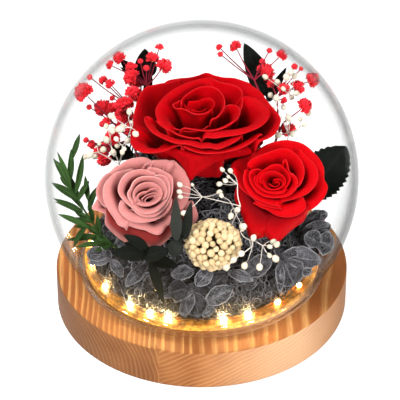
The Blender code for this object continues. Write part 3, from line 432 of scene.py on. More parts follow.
# Rice flower
RICE_CENTRE = (5.3, -31.5, -30.0)
RICE_RADIUS = 11.3
RICE_DEPTH = 8.0
RICE_AXIS = (0.08, -0.80, 0.60)
RICE_ROOT = (3.0, -30.0, 46.0)
RICE_BERRIES = 124
RICE_FLAT = 0.24              # how much the head is flattened at its top


def seen(across, up, back):
    """Where a place in the front view, given from the dome's centre, lies in the object."""
    near = 1 + back / EYE_DISTANCE
    rise, run = math.cos(VIEW_TILT), math.sin(VIEW_TILT)
    return Vector((across * near, up * near * run + back * rise,
                   DOME_CENTRE_Z + up * near * rise - back * run))


def pictured(across, down, back):
    """The same for a place in the photograph, kept inside the dome."""
    place = seen((across - PHOTO_CENTRE[0]) / PHOTO_SCALE, (PHOTO_CENTRE[1] - down) / PHOTO_SCALE, back)
    centre = Vector((0, 0, DOME_CENTRE_Z))
    out = place - centre
    if out.length > WITHIN:
        place = centre + out * (WITHIN / out.length)
    return place


class Batch:
    """The points, faces and named values per point of one piece, in millimetres."""

    def __init__(self):
        self.points = []
        self.faces = []
        self.values = {}

    def add(self, points, faces, **values):
        start = len(self.points)
        self.points += [tuple(p) for p in points]
        self.faces += [tuple(start + k for k in face) for face in faces]
        for name, numbers in values.items():
            if not isinstance(numbers, list):
                numbers = [numbers] * len(points)
            self.values.setdefault(name, []).extend(numbers)


def make(batch, name, stuff, replaces=(), thickness=0.0, crease=None):
    """Put a batch in the scene as one piece."""
    mesh = bpy.data.meshes.new(name)
    mesh.from_pydata([(x * MM, y * MM, z * MM) for x, y, z in batch.points], [], batch.faces)
    for key, numbers in batch.values.items():
        layer = mesh.attributes.new(key, "FLOAT", "POINT")
        layer.data.foreach_set("value", numbers)
    mesh.materials.append(stuff)
    mesh.shade_smooth()
    if crease is not None:
        mesh.set_sharp_from_angle(angle=math.radians(crease))
    piece = bpy.data.objects.new(name, mesh)
    bpy.context.scene.collection.objects.link(piece)
    if thickness:
        thick = piece.modifiers.new("Thickness", "SOLIDIFY")
        thick.thickness = thickness * MM
        thick.offset = 0
    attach(piece, "root")
    if replaces:
        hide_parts(*replaces)
    return piece


def bow(centre, radius, start, end, steps):
    turns = [math.radians(start + (end - start) * k / steps) for k in range(steps + 1)]
    return [(centre[0] + radius * math.cos(a), centre[1] + radius * math.sin(a)) for a in turns]


def turned(profile, sides):
    """Points and faces of an outline of (radius, height) points turned about Z."""
    points, rings = [], []
    for radius, height in profile:
        count = 1 if radius < 1e-6 else sides
        rings.append(range(len(points), len(points) + count))
        points += [(radius * math.cos(math.tau * k / sides), radius * math.sin(math.tau * k / sides),
                    height) for k in range(count)]
    faces = []
    for one, two in zip(rings, rings[1:]):
        for k in range(sides):
            n = (k + 1) % sides
            corners = [one[k % len(one)], one[n % len(one)], two[n % len(two)], two[k % len(two)]]
            corners = list(dict.fromkeys(corners))
            if len(corners) > 2:
                faces.append(corners)
    return points, faces


def tube(path, radii, sides=5):
    """Points and faces of a closed tube along a path."""
    points, faces = [], []
    side = None
    count = len(path)
    for k, point in enumerate(path):
        along = (path[min(k + 1, count - 1)] - path[max(k - 1, 0)]).normalized()
        if side is None:
            side = along.orthogonal()
        side = (side - along * side.dot(along)).normalized()
        other = along.cross(side)
        for n in range(sides):
            a = math.tau * n / sides
            points.append(point + radii[k] * (side * math.cos(a) + other * math.sin(a)))
    for k in range(count - 1):
        for n in range(sides):
            m = (n + 1) % sides
            faces.append((k * sides + n, k * sides + m, (k + 1) * sides + m, (k + 1) * sides + n))
    faces.append(tuple(reversed(range(sides))))
    faces.append(tuple(range((count - 1) * sides, count * sides)))
    return points, faces


def curve(points, steps):
    """A smooth path through points."""
    out = []
    count = len(points)
    for k in range(count - 1):
        p0, p1 = points[max(k - 1, 0)], points[k]
        p2, p3 = points[k + 1], points[min(k + 2, count - 1)]
        for n in range(steps):
            t = n / steps
            out.append(0.5 * ((2 * p1) + (p2 - p0) * t + (2 * p0 - 5 * p1 + 4 * p2 - p3) * t * t
                              + (3 * p1 - p0 - 3 * p2 + p3) * t ** 3))
    out.append(points[-1].copy())
    return out


def ball(centre, radius, rings=8, sides=12, stretch=1.0, axis=None):
    """Points and faces of a round ball, longer along its axis where stretch is over 1."""
    axis = Vector(axis or (0, 0, 1)).normalized()
    side = axis.orthogonal().normalized()
    other = axis.cross(side)
    points = [centre + axis * radius * stretch]
    for ring in range(1, rings):
        polar = math.pi * ring / rings
        for k in range(sides):
            a = math.tau * k / sides
            points.append(centre + axis * math.cos(polar) * radius * stretch
                          + (side * math.cos(a) + other * math.sin(a)) * math.sin(polar) * radius)
    points.append(centre - axis * radius * stretch)
    last = len(points) - 1
    faces = []
    for k in range(sides):
        n = (k + 1) % sides
        faces.append((0, 1 + k, 1 + n))
        faces.append((last, last - sides + n, last - sides + k))
        for ring in range(rings - 2):
            low = 1 + ring * sides
            faces.append((low + k, low + sides + k, low + sides + n, low + n))
    return points, faces


def grid_faces(columns, rows):
    wide = columns + 1
    return [(r * wide + c, r * wide + c + 1, (r + 1) * wide + c + 1, (r + 1) * wide + c)
            for r in range(rows) for c in range(columns)]


class Stuff:
    """A node material and short ways to add to it. Places in it are in millimetres."""

    def __init__(self, name):
        self.material = bpy.data.materials.new(name)
        self.material.use_nodes = True
        self.tree = self.material.node_tree
        self.shader = self.tree.nodes["Principled BSDF"]
        self.output = self.tree.nodes["Material Output"]

    def set(self, **sockets):
        for name, value in sockets.items():
            self.put(value, self.shader.inputs[name.replace("_", " ")])
        return self

    def put(self, value, socket):
        if isinstance(value, bpy.types.NodeSocket):
            self.tree.links.new(value, socket)
        elif isinstance(value, tuple) and len(value) == 3 and socket.type == "RGBA":
            socket.default_value = (*value, 1)
        else:
            socket.default_value = value

    def node(self, kind, **settings):
        made = self.tree.nodes.new("ShaderNode" + kind)
        for name, value in settings.items():
            setattr(made, name, value)
        return made

    def place(self):
        coordinates = self.node("TexCoord")
        return self.vector("SCALE", coordinates.outputs["Object"], 1 / MM)

    def vector(self, operation, one, two=None):
        made = self.node("VectorMath", operation=operation)
        self.put(one, made.inputs[0])
        if two is not None:
            self.put(two, made.inputs["Scale" if operation == "SCALE" else 1])
        return made.outputs["Value" if operation in ("LENGTH", "DOT_PRODUCT") else "Vector"]

    def sum(self, operation, one, two=0.0, three=0.0):
        made = self.node("Math", operation=operation)
        for socket, value in zip(made.inputs, (one, two, three)):
            self.put(value, socket)
        return made.outputs[0]

    def named(self, name):
        made = self.node("Attribute", attribute_type="GEOMETRY", attribute_name=name)
        return made.outputs["Fac"]

    def join(self, x=0.0, y=0.0, z=0.0):
        made = self.node("CombineXYZ")
        for socket, value in zip(made.inputs, (x, y, z)):
            self.put(value, socket)
        return made.outputs[0]

    def split(self, source):
        made = self.node("SeparateXYZ")
        self.put(source, made.inputs[0])
        return made.outputs

    def noise(self, source, scale, detail=3.0, roughness=0.55, distortion=0.0):
        made = self.node("TexNoise")
        self.put(source, made.inputs["Vector"])
        made.inputs["Scale"].default_value = scale
        made.inputs["Detail"].default_value = detail
        made.inputs["Roughness"].default_value = roughness
        made.inputs["Distortion"].default_value = distortion
        return made.outputs["Fac"]

    def cells(self, source, scale, feature="DISTANCE_TO_EDGE"):
        made = self.node("TexVoronoi", feature=feature)
        self.put(source, made.inputs["Vector"])
        made.inputs["Scale"].default_value = scale
        return made.outputs["Distance"]

    def ramp(self, factor, stops, kind="EASE"):
        made = self.node("ValToRGB")
        made.color_ramp.interpolation = kind
        elements = made.color_ramp.elements
        while len(elements) < len(stops):
            elements.new(0.5)
        for element, (place, colour) in zip(elements, stops):
            element.position = place
            element.color = (*colour, 1) if isinstance(colour, tuple) else (colour, colour, colour, 1)
        self.put(factor, made.inputs[0])
        return made.outputs["Color"]

    def blend(self, factor, one, two, kind="MIX"):
        made = self.node("Mix", data_type="RGBA", blend_type=kind)
        self.put(factor, made.inputs["Factor"])
        self.put(one, made.inputs["A"] if False else made.inputs[6])
        self.put(two, made.inputs[7])
        return made.outputs[2]

    def bump(self, height, strength, depth=0.2):
        made = self.node("Bump")
        made.inputs["Strength"].default_value = strength
        made.inputs["Distance"].default_value = depth * MM
        self.put(height, made.inputs["Height"])
        self.tree.links.new(made.outputs[0], self.shader.inputs["Normal"])
        return self


def petal_stuff(name, painted_foot_shade, face, rim, sheen_tint, glow, drift=None):
    """Velvety preserved petal: painted shade at its foot, a painted highlight along its rim, with fine veins.

    The drift paints shade: its colour grows darker from one place across to another.
    """
    s = Stuff(name)
    along, across = s.named("along"), s.named("across")
    veins = s.noise(s.join(s.sum("MULTIPLY", across, 14.0), s.sum("MULTIPLY", along, 1.6)), 1.6)
    patches = s.noise(s.place(), 0.16, 2.0)
    # Painted shade at the foot and a painted highlight at the rim.
    body = s.ramp(along, [(0.0, painted_foot_shade), (0.35, painted_foot_shade), (0.84, face), (0.988, face), (1.0, rim)])
    tone = s.sum("ADD", s.sum("MULTIPLY", veins, 0.28), s.sum("MULTIPLY", patches, 0.22))
    tone = s.sum("ADD", tone, 0.74)
    # Painted shade across the petal, darker from one place to another.
    if drift:
        start, end, least = drift
        x = s.split(s.place())[0]
        part = s.sum("DIVIDE", s.sum("SUBTRACT", x, start), end - start)
        tone = s.sum("MULTIPLY", tone, s.ramp(part, [(0.0, 1.0), (1.0, least)]))
    colour = s.blend(1.0, body, s.join(tone, tone, tone), "MULTIPLY")
    s.set(Base_Color=colour, Roughness=0.62, Specular_IOR_Level=0.12, Sheen_Weight=0.08,
          Sheen_Roughness=0.35, Sheen_Tint=(*sheen_tint, 1), Subsurface_Weight=0.22,
          Subsurface_Radius=glow, Subsurface_Scale=0.002)
    grain = s.sum("ADD", s.sum("MULTIPLY", veins, 0.8), s.noise(s.place(), 4.0, 2.0))
    return s.bump(grain, 0.35, 0.12).material


def leaf_stuff(name, dark, pale, rib, gloss=0.45):
    """Satin leaf with a midrib and side veins."""
    s = Stuff(name)
    along, across, tone = s.named("along"), s.named("across"), s.named("tone")
    width = s.sum("ABSOLUTE", across)
    middle = s.sum("LESS_THAN", width, 0.07)
    stripes = s.sum("SINE", s.sum("MULTIPLY", s.sum("SUBTRACT", along, s.sum("MULTIPLY", width, 0.16)), 75.0))
    stripes = s.sum("MULTIPLY", s.sum("MAXIMUM", s.sum("SUBTRACT", stripes, 0.8), 0.0), 2.0)
    mottle = s.noise(s.place(), 0.5, 4.0)
    body = s.blend(s.sum("MULTIPLY_ADD", mottle, 0.5, s.sum("MULTIPLY", tone, 0.75)), dark, pale)
    body = s.blend(s.sum("MULTIPLY", s.sum("ADD", middle, stripes), 0.4), body, rib)
    s.set(Base_Color=body, Roughness=gloss, Specular_IOR_Level=0.08)
    height = s.sum("ADD", s.sum("MULTIPLY", s.sum("ADD", middle, stripes), -0.6),
                   s.sum("MULTIPLY", s.noise(s.place(), 3.0), 0.5))
    return s.bump(height, 0.5, 0.15).material


def hydrangea_stuff():
    """Charcoal dried petal with paler net veins and rim and a faint purple cast."""
    s = Stuff("hydrangea_petal")
    along, across, tone = s.named("along"), s.named("across"), s.named("tone")
    net = s.cells(s.place(), 0.9)
    net = s.ramp(net, [(0.0, 1.0), (0.09, 0.0)], "LINEAR")
    fine = s.cells(s.place(), 2.1)
    fine = s.ramp(fine, [(0.0, 0.7), (0.12, 0.0)], "LINEAR")
    width = s.sum("ABSOLUTE", across)
    middle = s.ramp(width, [(0.0, 1.0), (0.09, 0.0)], "LINEAR")
    edge = s.ramp(s.sum("MAXIMUM", width, along), [(0.86, 0.0), (1.0, 1.0)], "LINEAR")
    mottle = s.noise(s.place(), 0.35, 5.0)
    body = s.ramp(mottle, [(0.38, (0.003, 0.003, 0.004)), (0.64, (0.058, 0.056, 0.062))])
    lines = s.sum("MULTIPLY_ADD", net, 0.35, s.sum("MULTIPLY_ADD", fine, 0.18, s.sum("MULTIPLY", middle, 0.4)))
    lines = s.sum("MULTIPLY_ADD", edge, 0.7, lines)
    body = s.blend(lines, body, (0.26, 0.255, 0.265))
    body = s.blend(1.0, body, s.join(tone, tone, tone), "MULTIPLY")
    s.set(Base_Color=body, Roughness=0.62, Specular_IOR_Level=0.10, Sheen_Weight=0.04)
    return s.bump(s.sum("ADD", lines, s.sum("MULTIPLY", mottle, 0.8)), 0.6, 0.25).material


def plain_stuff(name, low, high, scale=1.2, rough=0.6, shine=0.3, depth=0.1, sheen=0.0, through=0.0):
    """One colour that drifts between two tones, by place and by piece."""
    s = Stuff(name)
    spots = s.noise(s.place(), scale, 3.0)
    mix = s.sum("ADD", s.sum("MULTIPLY", spots, 0.55), s.sum("MULTIPLY", s.named("tone"), 0.6))
    mix = s.sum("SUBTRACT", mix, 0.12)
    s.set(Base_Color=s.ramp(mix, [(0.0, low), (1.0, high)], "LINEAR"), Roughness=rough,
          Specular_IOR_Level=shine, Sheen_Weight=sheen, Subsurface_Weight=through,
          Subsurface_Scale=0.001)
    return s.bump(s.noise(s.place(), 5.0), 0.4, depth).material


def wood_stuff():
    """Two boards with their own growth rings, whose grain runs from front to back, with painted light and shade
    and a painted amber glow from the lamps.
    """
    s = Stuff("oiled_wood")
    place = s.place()
    x, y, z = s.split(place)
    drift = s.noise(s.join(s.sum("MULTIPLY", x, 0.03), s.sum("MULTIPLY", y, 0.008),
                           s.sum("MULTIPLY", z, 0.03)), 1.0, 2.0)
    rings = []
    for pith in (PITH_LEFT, PITH_RIGHT):
        away = s.vector("LENGTH", s.join(s.sum("SUBTRACT", x, pith[0]), 0.0,
                                         s.sum("SUBTRACT", z, pith[1])))
        away = s.sum("ADD", away, s.sum("MULTIPLY", drift, 7.0))
        rings.append(s.sum("DIVIDE", away, RING_WIDTH))
    right = s.sum("GREATER_THAN", x, SEAM)
    count = s.node("Mix", data_type="FLOAT")
    s.put(right, count.inputs[0])
    s.put(rings[0], count.inputs[2])
    s.put(rings[1], count.inputs[3])
    count = count.outputs[0]
    ring = s.sum("FRACT", count)
    year = s.node("TexWhiteNoise", noise_dimensions="1D")
    s.put(s.sum("FLOOR", count), year.inputs["W"])
    late = s.ramp(ring, [(0.0, 1.0), (0.16, 0.55), (0.40, 0.0), (0.80, 0.0), (1.0, 1.0)])
    late = s.sum("MULTIPLY", late, s.sum("MULTIPLY_ADD", year.outputs["Value"], 0.6, 0.45))
    flat = s.ramp(s.split(s.node("NewGeometry").outputs["Normal"])[2], [(0.5, 0.0), (0.8, 1.0)])
    late = s.sum("MULTIPLY", late, s.sum("MULTIPLY_ADD", flat, 0.45, 0.50))
    fibre = s.noise(s.join(s.sum("MULTIPLY", x, 1.8), s.sum("MULTIPLY", y, 0.06),
                           s.sum("MULTIPLY", z, 1.8)), 1.0, 4.0)
    pores = s.noise(s.join(s.sum("MULTIPLY", x, 3.2), s.sum("MULTIPLY", y, 0.16),
                           s.sum("MULTIPLY", z, 3.2)), 1.0, 2.0)
    pores = s.ramp(pores, [(0.60, 0.0), (0.72, 1.0)], "LINEAR")
    broad = s.noise(s.join(s.sum("MULTIPLY", x, 0.05), s.sum("MULTIPLY", y, 0.012),
                           s.sum("MULTIPLY", z, 0.05)), 1.0, 2.0)
    body = s.ramp(broad, [(0.30, (0.30, 0.096, 0.023)), (0.70, (0.46, 0.175, 0.050))])
    body = s.blend(late, body, (0.90, 0.53, 0.19))
    body = s.blend(s.sum("MULTIPLY", fibre, 0.78), body, (0.27, 0.085, 0.023))
    body = s.blend(s.sum("MULTIPLY", pores, 0.6), body, (0.17, 0.045, 0.012))
    # The left board's own darker colour, and painted light across both boards: lighter towards the right, darker
    # again at the far right.
    board_tone_and_painted_light = s.ramp(s.sum("MULTIPLY_ADD", x, 1 / 142, 0.5),
                   [(0.0, 0.56), (0.34, 0.62), (0.36, 0.76), (0.60, 0.93), (0.80, 1.0), (1.0, 0.72)])
    body = s.blend(1.0, body, board_tone_and_painted_light, "MULTIPLY")
    # Painted highlight: the walls are painted paler towards the right, where the light falls, fading again at the
    # far right.
    pale = s.ramp(s.sum("MULTIPLY_ADD", x, 1 / 142, 0.5), [(0.45, 0.0), (0.82, 0.30), (1.0, 0.04)])
    pale = s.sum("MULTIPLY", pale, s.sum("SUBTRACT", 1.0, flat))
    body = s.blend(pale, body, (0.95, 0.70, 0.46))
    # Painted light and shade on the flat tops: lighter at the left, darker in the middle, and the plateau under
    # the dome darker still.
    painted_ledge_light = s.ramp(s.sum("MULTIPLY_ADD", x, 1 / 142, 0.5), [(0.0, 1.0), (0.5, 0.62), (1.0, 0.76)])
    painted_ledge_light = s.sum("MULTIPLY", painted_ledge_light, 1.30)
    raised = s.sum("GREATER_THAN", z, 23.5)
    level = s.sum("MULTIPLY_ADD", raised, s.sum("SUBTRACT", 0.55, painted_ledge_light), painted_ledge_light)
    painted_top_shade = s.sum("MULTIPLY_ADD", flat, s.sum("SUBTRACT", level, 1.0), 1.0)
    body = s.blend(1.0, body, s.join(painted_top_shade, painted_top_shade, painted_top_shade), "MULTIPLY")
    # Painted lamp light: a faint streaked amber glow on the plateau ring round the lamps, made as emission of the
    # wood.
    reach = s.vector("LENGTH", s.join(x, y, 0.0))
    glow = s.ramp(s.sum("MULTIPLY_ADD", reach, 0.1, -4.9), [(0.0, 0.0), (0.35, 0.30), (0.70, 0.40),
                                                            (0.76, 1.0), (0.80, 1.0), (0.83, 0.0)], "LINEAR")
    glow = s.sum("MULTIPLY", s.sum("MULTIPLY", glow, 1.7), raised)
    painted_glow_streak = s.ramp(s.noise(place, 0.3, 2.0), [(0.36, 0.25), (0.64, 1.0)])
    s.set(Emission_Color=(1.0, 0.41, 0.04, 1), Emission_Strength=s.sum("MULTIPLY", glow, painted_glow_streak))
    s.set(Base_Color=body, Roughness=s.sum("MULTIPLY_ADD", fibre, 0.2, 0.42),
          Specular_IOR_Level=0.25, Coat_Weight=0.04, Coat_Roughness=0.3)
    height = s.sum("MULTIPLY_ADD", pores, -1.0, s.sum("MULTIPLY_ADD", late, 0.5, fibre))
    return s.bump(height, 0.5, 0.12).material


def glass_stuff():
    """Clear glass that lets light rays straight through, with a grey band at its outline that is partly a painted
    reflection.
    """
    s = Stuff("clear_glass")
    s.set(Base_Color=(1, 1, 1, 1), Roughness=0.0, IOR=1.45, Transmission_Weight=1.0,
          Specular_Tint=(0.8, 0.8, 0.8, 1))
    clear = s.node("BsdfTransparent")
    clear.inputs[0].default_value = (0.99, 0.99, 0.99, 1)
    facing = s.node("LayerWeight")
    facing.inputs["Blend"].default_value = 0.5
    slant = s.ramp(facing.outputs["Facing"], [(0.60, 0.0), (0.85, 0.16)])
    # Grey band at grazing angles: partly the long path through the glass wall, partly a painted reflection of
    # darker surroundings; side paints it fainter at the left and stronger at the right.
    grey = s.ramp(facing.outputs["Facing"], [(0.50, 0.0), (0.58, 0.035), (0.66, 0.05), (0.74, 0.12), (0.81, 0.20),
                                             (0.88, 0.15), (0.95, 0.09), (1.0, 0.06)], "LINEAR")
    side = s.sum("MULTIPLY_ADD", s.split(s.place())[0], 0.005, 0.95)
    pass_on = s.sum("SUBTRACT", 0.995, s.sum("MULTIPLY", grey, side))
    s.put(s.join(pass_on, pass_on, pass_on), clear.inputs[0])
    height = s.split(s.place())[2]
    foot = s.ramp(s.sum("MULTIPLY_ADD", height, 0.1, -2.0), [(0.22, 0.75), (0.42, 0.0)])
    slant = s.sum("MAXIMUM", slant, foot)
    rim = s.node("MixShader")
    s.tree.links.new(slant, rim.inputs[0])
    s.tree.links.new(clear.outputs[0], rim.inputs[1])
    s.tree.links.new(s.shader.outputs[0], rim.inputs[2])
    path = s.node("LightPath")
    mix = s.node("MixShader")
    lit = s.node("BsdfTransparent")
    lit.inputs[0].default_value = (0.99, 0.99, 0.99, 1)
    s.tree.links.new(path.outputs["Is Shadow Ray"], mix.inputs[0])
    s.tree.links.new(rim.outputs[0], mix.inputs[1])
    s.tree.links.new(lit.outputs[0], mix.inputs[2])
    s.tree.links.new(mix.outputs[0], s.output.inputs["Surface"])
    haze = s.node("VolumeAbsorption")
    haze.inputs["Color"].default_value = (0.42, 0.46, 0.45, 1)
    haze.inputs["Density"].default_value = 20.0
    s.tree.links.new(haze.outputs[0], s.output.inputs["Volume"])
    return s.material


def lamp_stuff():
    s = Stuff("lamp")
    hot = s.named("tone")
    glow = s.ramp(hot, [(0.0, (1.0, 0.42, 0.07)), (1.0, (1.0, 0.72, 0.30))], "LINEAR")
    s.set(Base_Color=(1.0, 0.75, 0.4, 1), Roughness=0.2, Emission_Color=glow,
          Emission_Strength=s.sum("MULTIPLY", hot, 420.0))
    return s.material


def metal_stuff():
    s = Stuff("copper_wire")
    tone = s.noise(s.place(), 1.0)
    s.set(Base_Color=s.ramp(tone, [(0.3, (0.70, 0.40, 0.16)), (0.7, (0.85, 0.55, 0.26))]),
          Metallic=1.0, Roughness=0.3)
    return s.material


def wooden_base(stuff):
    foot, edge = BASE_FOOT_ROUND, BASE_EDGE_ROUND
    outline = [(0, COVER_RECESS), (COVER_RADIUS + GAP, COVER_RECESS), (COVER_RADIUS + GAP, 0)]
    outline += [(BASE_RADIUS - foot - 8, 0)]
    outline += bow((BASE_RADIUS - foot, foot), foot, -90, 0, 6)
    outline += bow((BASE_RADIUS - edge, BASE_HEIGHT - edge), edge, 0, 90, 4)
    outline += [(PLATEAU_RADIUS + 0.2, BASE_HEIGHT), (PLATEAU_RADIUS, BASE_HEIGHT + 0.2)]
    outline += bow((PLATEAU_RADIUS - edge, PLATEAU_TOP - edge), edge, 0, 90, 4)
    outline += [(0, PLATEAU_TOP)]
    batch = Batch()
    batch.add(*turned(outline, 180))
    make(batch, "oiled_wooden_base", stuff, ["wooden_base"], crease=35)


def glass_dome(stuff):
    inner, round_foot = DOME_RADIUS - DOME_WALL, DOME_WALL / 2
    inner_collar = COLLAR_RADIUS - DOME_WALL
    centre, foot = (0, DOME_CENTRE_Z), BASE_HEIGHT + GAP
    low = math.degrees(math.acos(COLLAR_RADIUS / DOME_RADIUS))
    inner_low = math.degrees(math.acos(inner_collar / inner))
    outline = bow(centre, DOME_RADIUS, 90, -low, 72)
    outline += bow((COLLAR_RADIUS - round_foot, foot + round_foot), round_foot, 0, -180, 8)
    outline += bow(centre, inner, -inner_low, 90, 72)
    outline[0] = (0, DOME_CENTRE_Z + DOME_RADIUS)
    outline[-1] = (0, DOME_CENTRE_Z + inner)
    batch = Batch()
    points, faces = turned(outline, 144)
    batch.add(points, [tuple(reversed(face)) for face in faces])
    make(batch, "blown_glass_dome", stuff, ["glass_dome"], crease=60)


def light_string(lamp, wire):
    beads, thread = Batch(), Batch()
    for turn in LAMP_TURNS:
        a = math.radians(turn)
        out = Vector((math.sin(a), -math.cos(a), 0))
        along = Vector((math.cos(a), math.sin(a), 0))
        centre = out * LAMP_RING_RADIUS + Vector((0, 0, LAMP_HEIGHT))
        points, faces = ball(centre, LAMP_RADIUS, 10, 12, LAMP_LENGTH / 2 / LAMP_RADIUS, along)
        beads.add(points, faces, tone=LAMP_DIM.get(turn, 1.0))
    make(beads, "lamps", lamp, ["light_string"])
    count = 240
    path = []
    for k in range(count + 1):
        a = math.tau * k / count
        sway = 0.35 * math.sin(9 * a) + 0.2 * math.sin(23 * a)
        lift = 0.25 * math.sin(14 * a)
        path.append(Vector(((LAMP_RING_RADIUS + sway) * math.sin(a),
                            -(LAMP_RING_RADIUS + sway) * math.cos(a), LAMP_HEIGHT + lift)))
    thread.add(*tube(path, [WIRE_RADIUS] * len(path), 6))
    make(thread, "lamp_wire", wire)


def mound_height(radius):
    inside = max(0.0, 1 - (radius / MOUND_RADIUS) ** 2)
    return PLATEAU_TOP + GAP + MOUND_HEIGHT * inside ** MOUND_POWER


def moss(dark, strand):
    """A dark lumpy mound and the curly strands that cover it."""
    sides, steps = 120, 40
    outline = [(MOUND_RADIUS * math.cos(math.pi / 2 * k / steps),
                mound_height(MOUND_RADIUS * math.cos(math.pi / 2 * k / steps)) - 1.0)
               for k in range(steps + 1)]
    outline[-1] = (0, mound_height(0) - 1.0)
    outline = [(0, PLATEAU_TOP + GAP), (MOUND_RADIUS, PLATEAU_TOP + GAP)] + outline[1:]
    points, faces = turned(outline, sides)
    lumpy = []
    for x, y, z in points:
        lump = noise.noise(Vector((x, y, z)) * 0.22) * 1.4 if z > PLATEAU_TOP + 1 else 0.0
        lumpy.append((x * (1 + lump / 60), y * (1 + lump / 60), z + lump))
    body = Batch()
    body.add(lumpy, faces, tone=0.2)
    make(body, "moss_ground", dark, ["moss_bed"])
    slope = [(MOUND_RADIUS * math.sin(math.pi / 2 * k / 200),) for k in range(201)]
    slope = [(r, mound_height(min(r, MOUND_RADIUS * 0.9999))) for r, in slope]
    lengths = [0.0]
    for one, two in zip(slope, slope[1:]):
        lengths.append(lengths[-1] + math.dist(one, two))
    total = lengths[-1]

    def on_mound(reach):
        """Radius, height and slope direction at a distance from the top along the mound."""
        reach = min(max(reach, 0.0), total - 0.01)
        low = 0
        high = len(lengths) - 1
        while high - low > 1:
            mid = (low + high) // 2
            low, high = (mid, high) if lengths[mid] <= reach else (low, mid)
        part = (reach - lengths[low]) / (lengths[high] - lengths[low])
        (r0, z0), (r1, z1) = slope[low], slope[high]
        down = Vector((r1 - r0, z1 - z0)).normalized()
        return r0 + (r1 - r0) * part, z0 + (z1 - z0) * part, Vector((-down.y, down.x))

    rng = random.Random(11)
    for part, (count, low, high, loose, coarse) in enumerate(((2300, 0.02, 0.8, 2.6, 1.45),
                                                             (2300, 0.62, 0.985, 2.6, 1.0))):
        batch = Batch()
        for k in range(count):
            reach = total * math.sqrt(rng.uniform(low ** 2, high ** 2))
            turn = rng.uniform(0, math.tau)
            heading = rng.uniform(0, math.tau)
            bend = rng.choice((-1, 1)) * rng.uniform(0.25, 0.85)
            lift = rng.uniform(-0.4, loose) ** 1.0
            path = []
            for n in range(9):
                radius, height, out = on_mound(reach)
                rise = lift + 0.7 * math.sin(n * 1.1 + k)
                radius += out.x * rise
                height = max(height + out.y * rise, PLATEAU_TOP + 0.6)
                path.append(Vector((radius * math.cos(turn), radius * math.sin(turn), height)))
                reach += math.cos(heading) * 1.5
                turn += math.sin(heading) * 1.5 / max(radius, 4.0)
                if reach > total - 1:
                    heading += math.pi / 2
                heading += bend + rng.uniform(-0.55, 0.55)
            thick = coarse * rng.uniform(0.16, 0.34)
            radii = [thick * (0.6 + 0.4 * math.sin(math.pi * (n + 1) / 10)) for n in range(9)]
            batch.add(*tube(path, radii, 3), tone=rng.random() ** 4.0)
        make(batch, "moss_strands_%d" % (part + 1), strand)


def rose_frame(rose):
    """A rose's own axes: Z along its axis, Y up or back and X to the right."""
    axis = Vector(rose["axis"]).normalized()
    up = Vector((0, 1, 0))
    up = (up - axis * up.dot(axis)).normalized()
    right = up.cross(axis)
    turn = Matrix((right, up, axis)).transposed().to_4x4()
    return Matrix.Translation(rose["origin"]) @ turn


def rim_point(rose, spot, height):
    """Where a pixel of a rose's close-up lies at a height along the rose's axis, in its own axes."""
    left, top, scale = rose["close_up"]
    across = (left + spot[0] / scale - PHOTO_CENTRE[0]) / PHOTO_SCALE
    up = (PHOTO_CENTRE[1] - top - spot[1] / scale) / PHOTO_SCALE
    own = rose_frame(rose).inverted()
    near, far = own @ seen(across, up, -60), own @ seen(across, up, 60)
    return near.lerp(far, (height - near.z) / (far.z - near.z))


def bezier(one, two, three, four, v):
    w = 1 - v
    return w ** 3 * one + 3 * v * w * w * two + 3 * v * v * w * three + v ** 3 * four


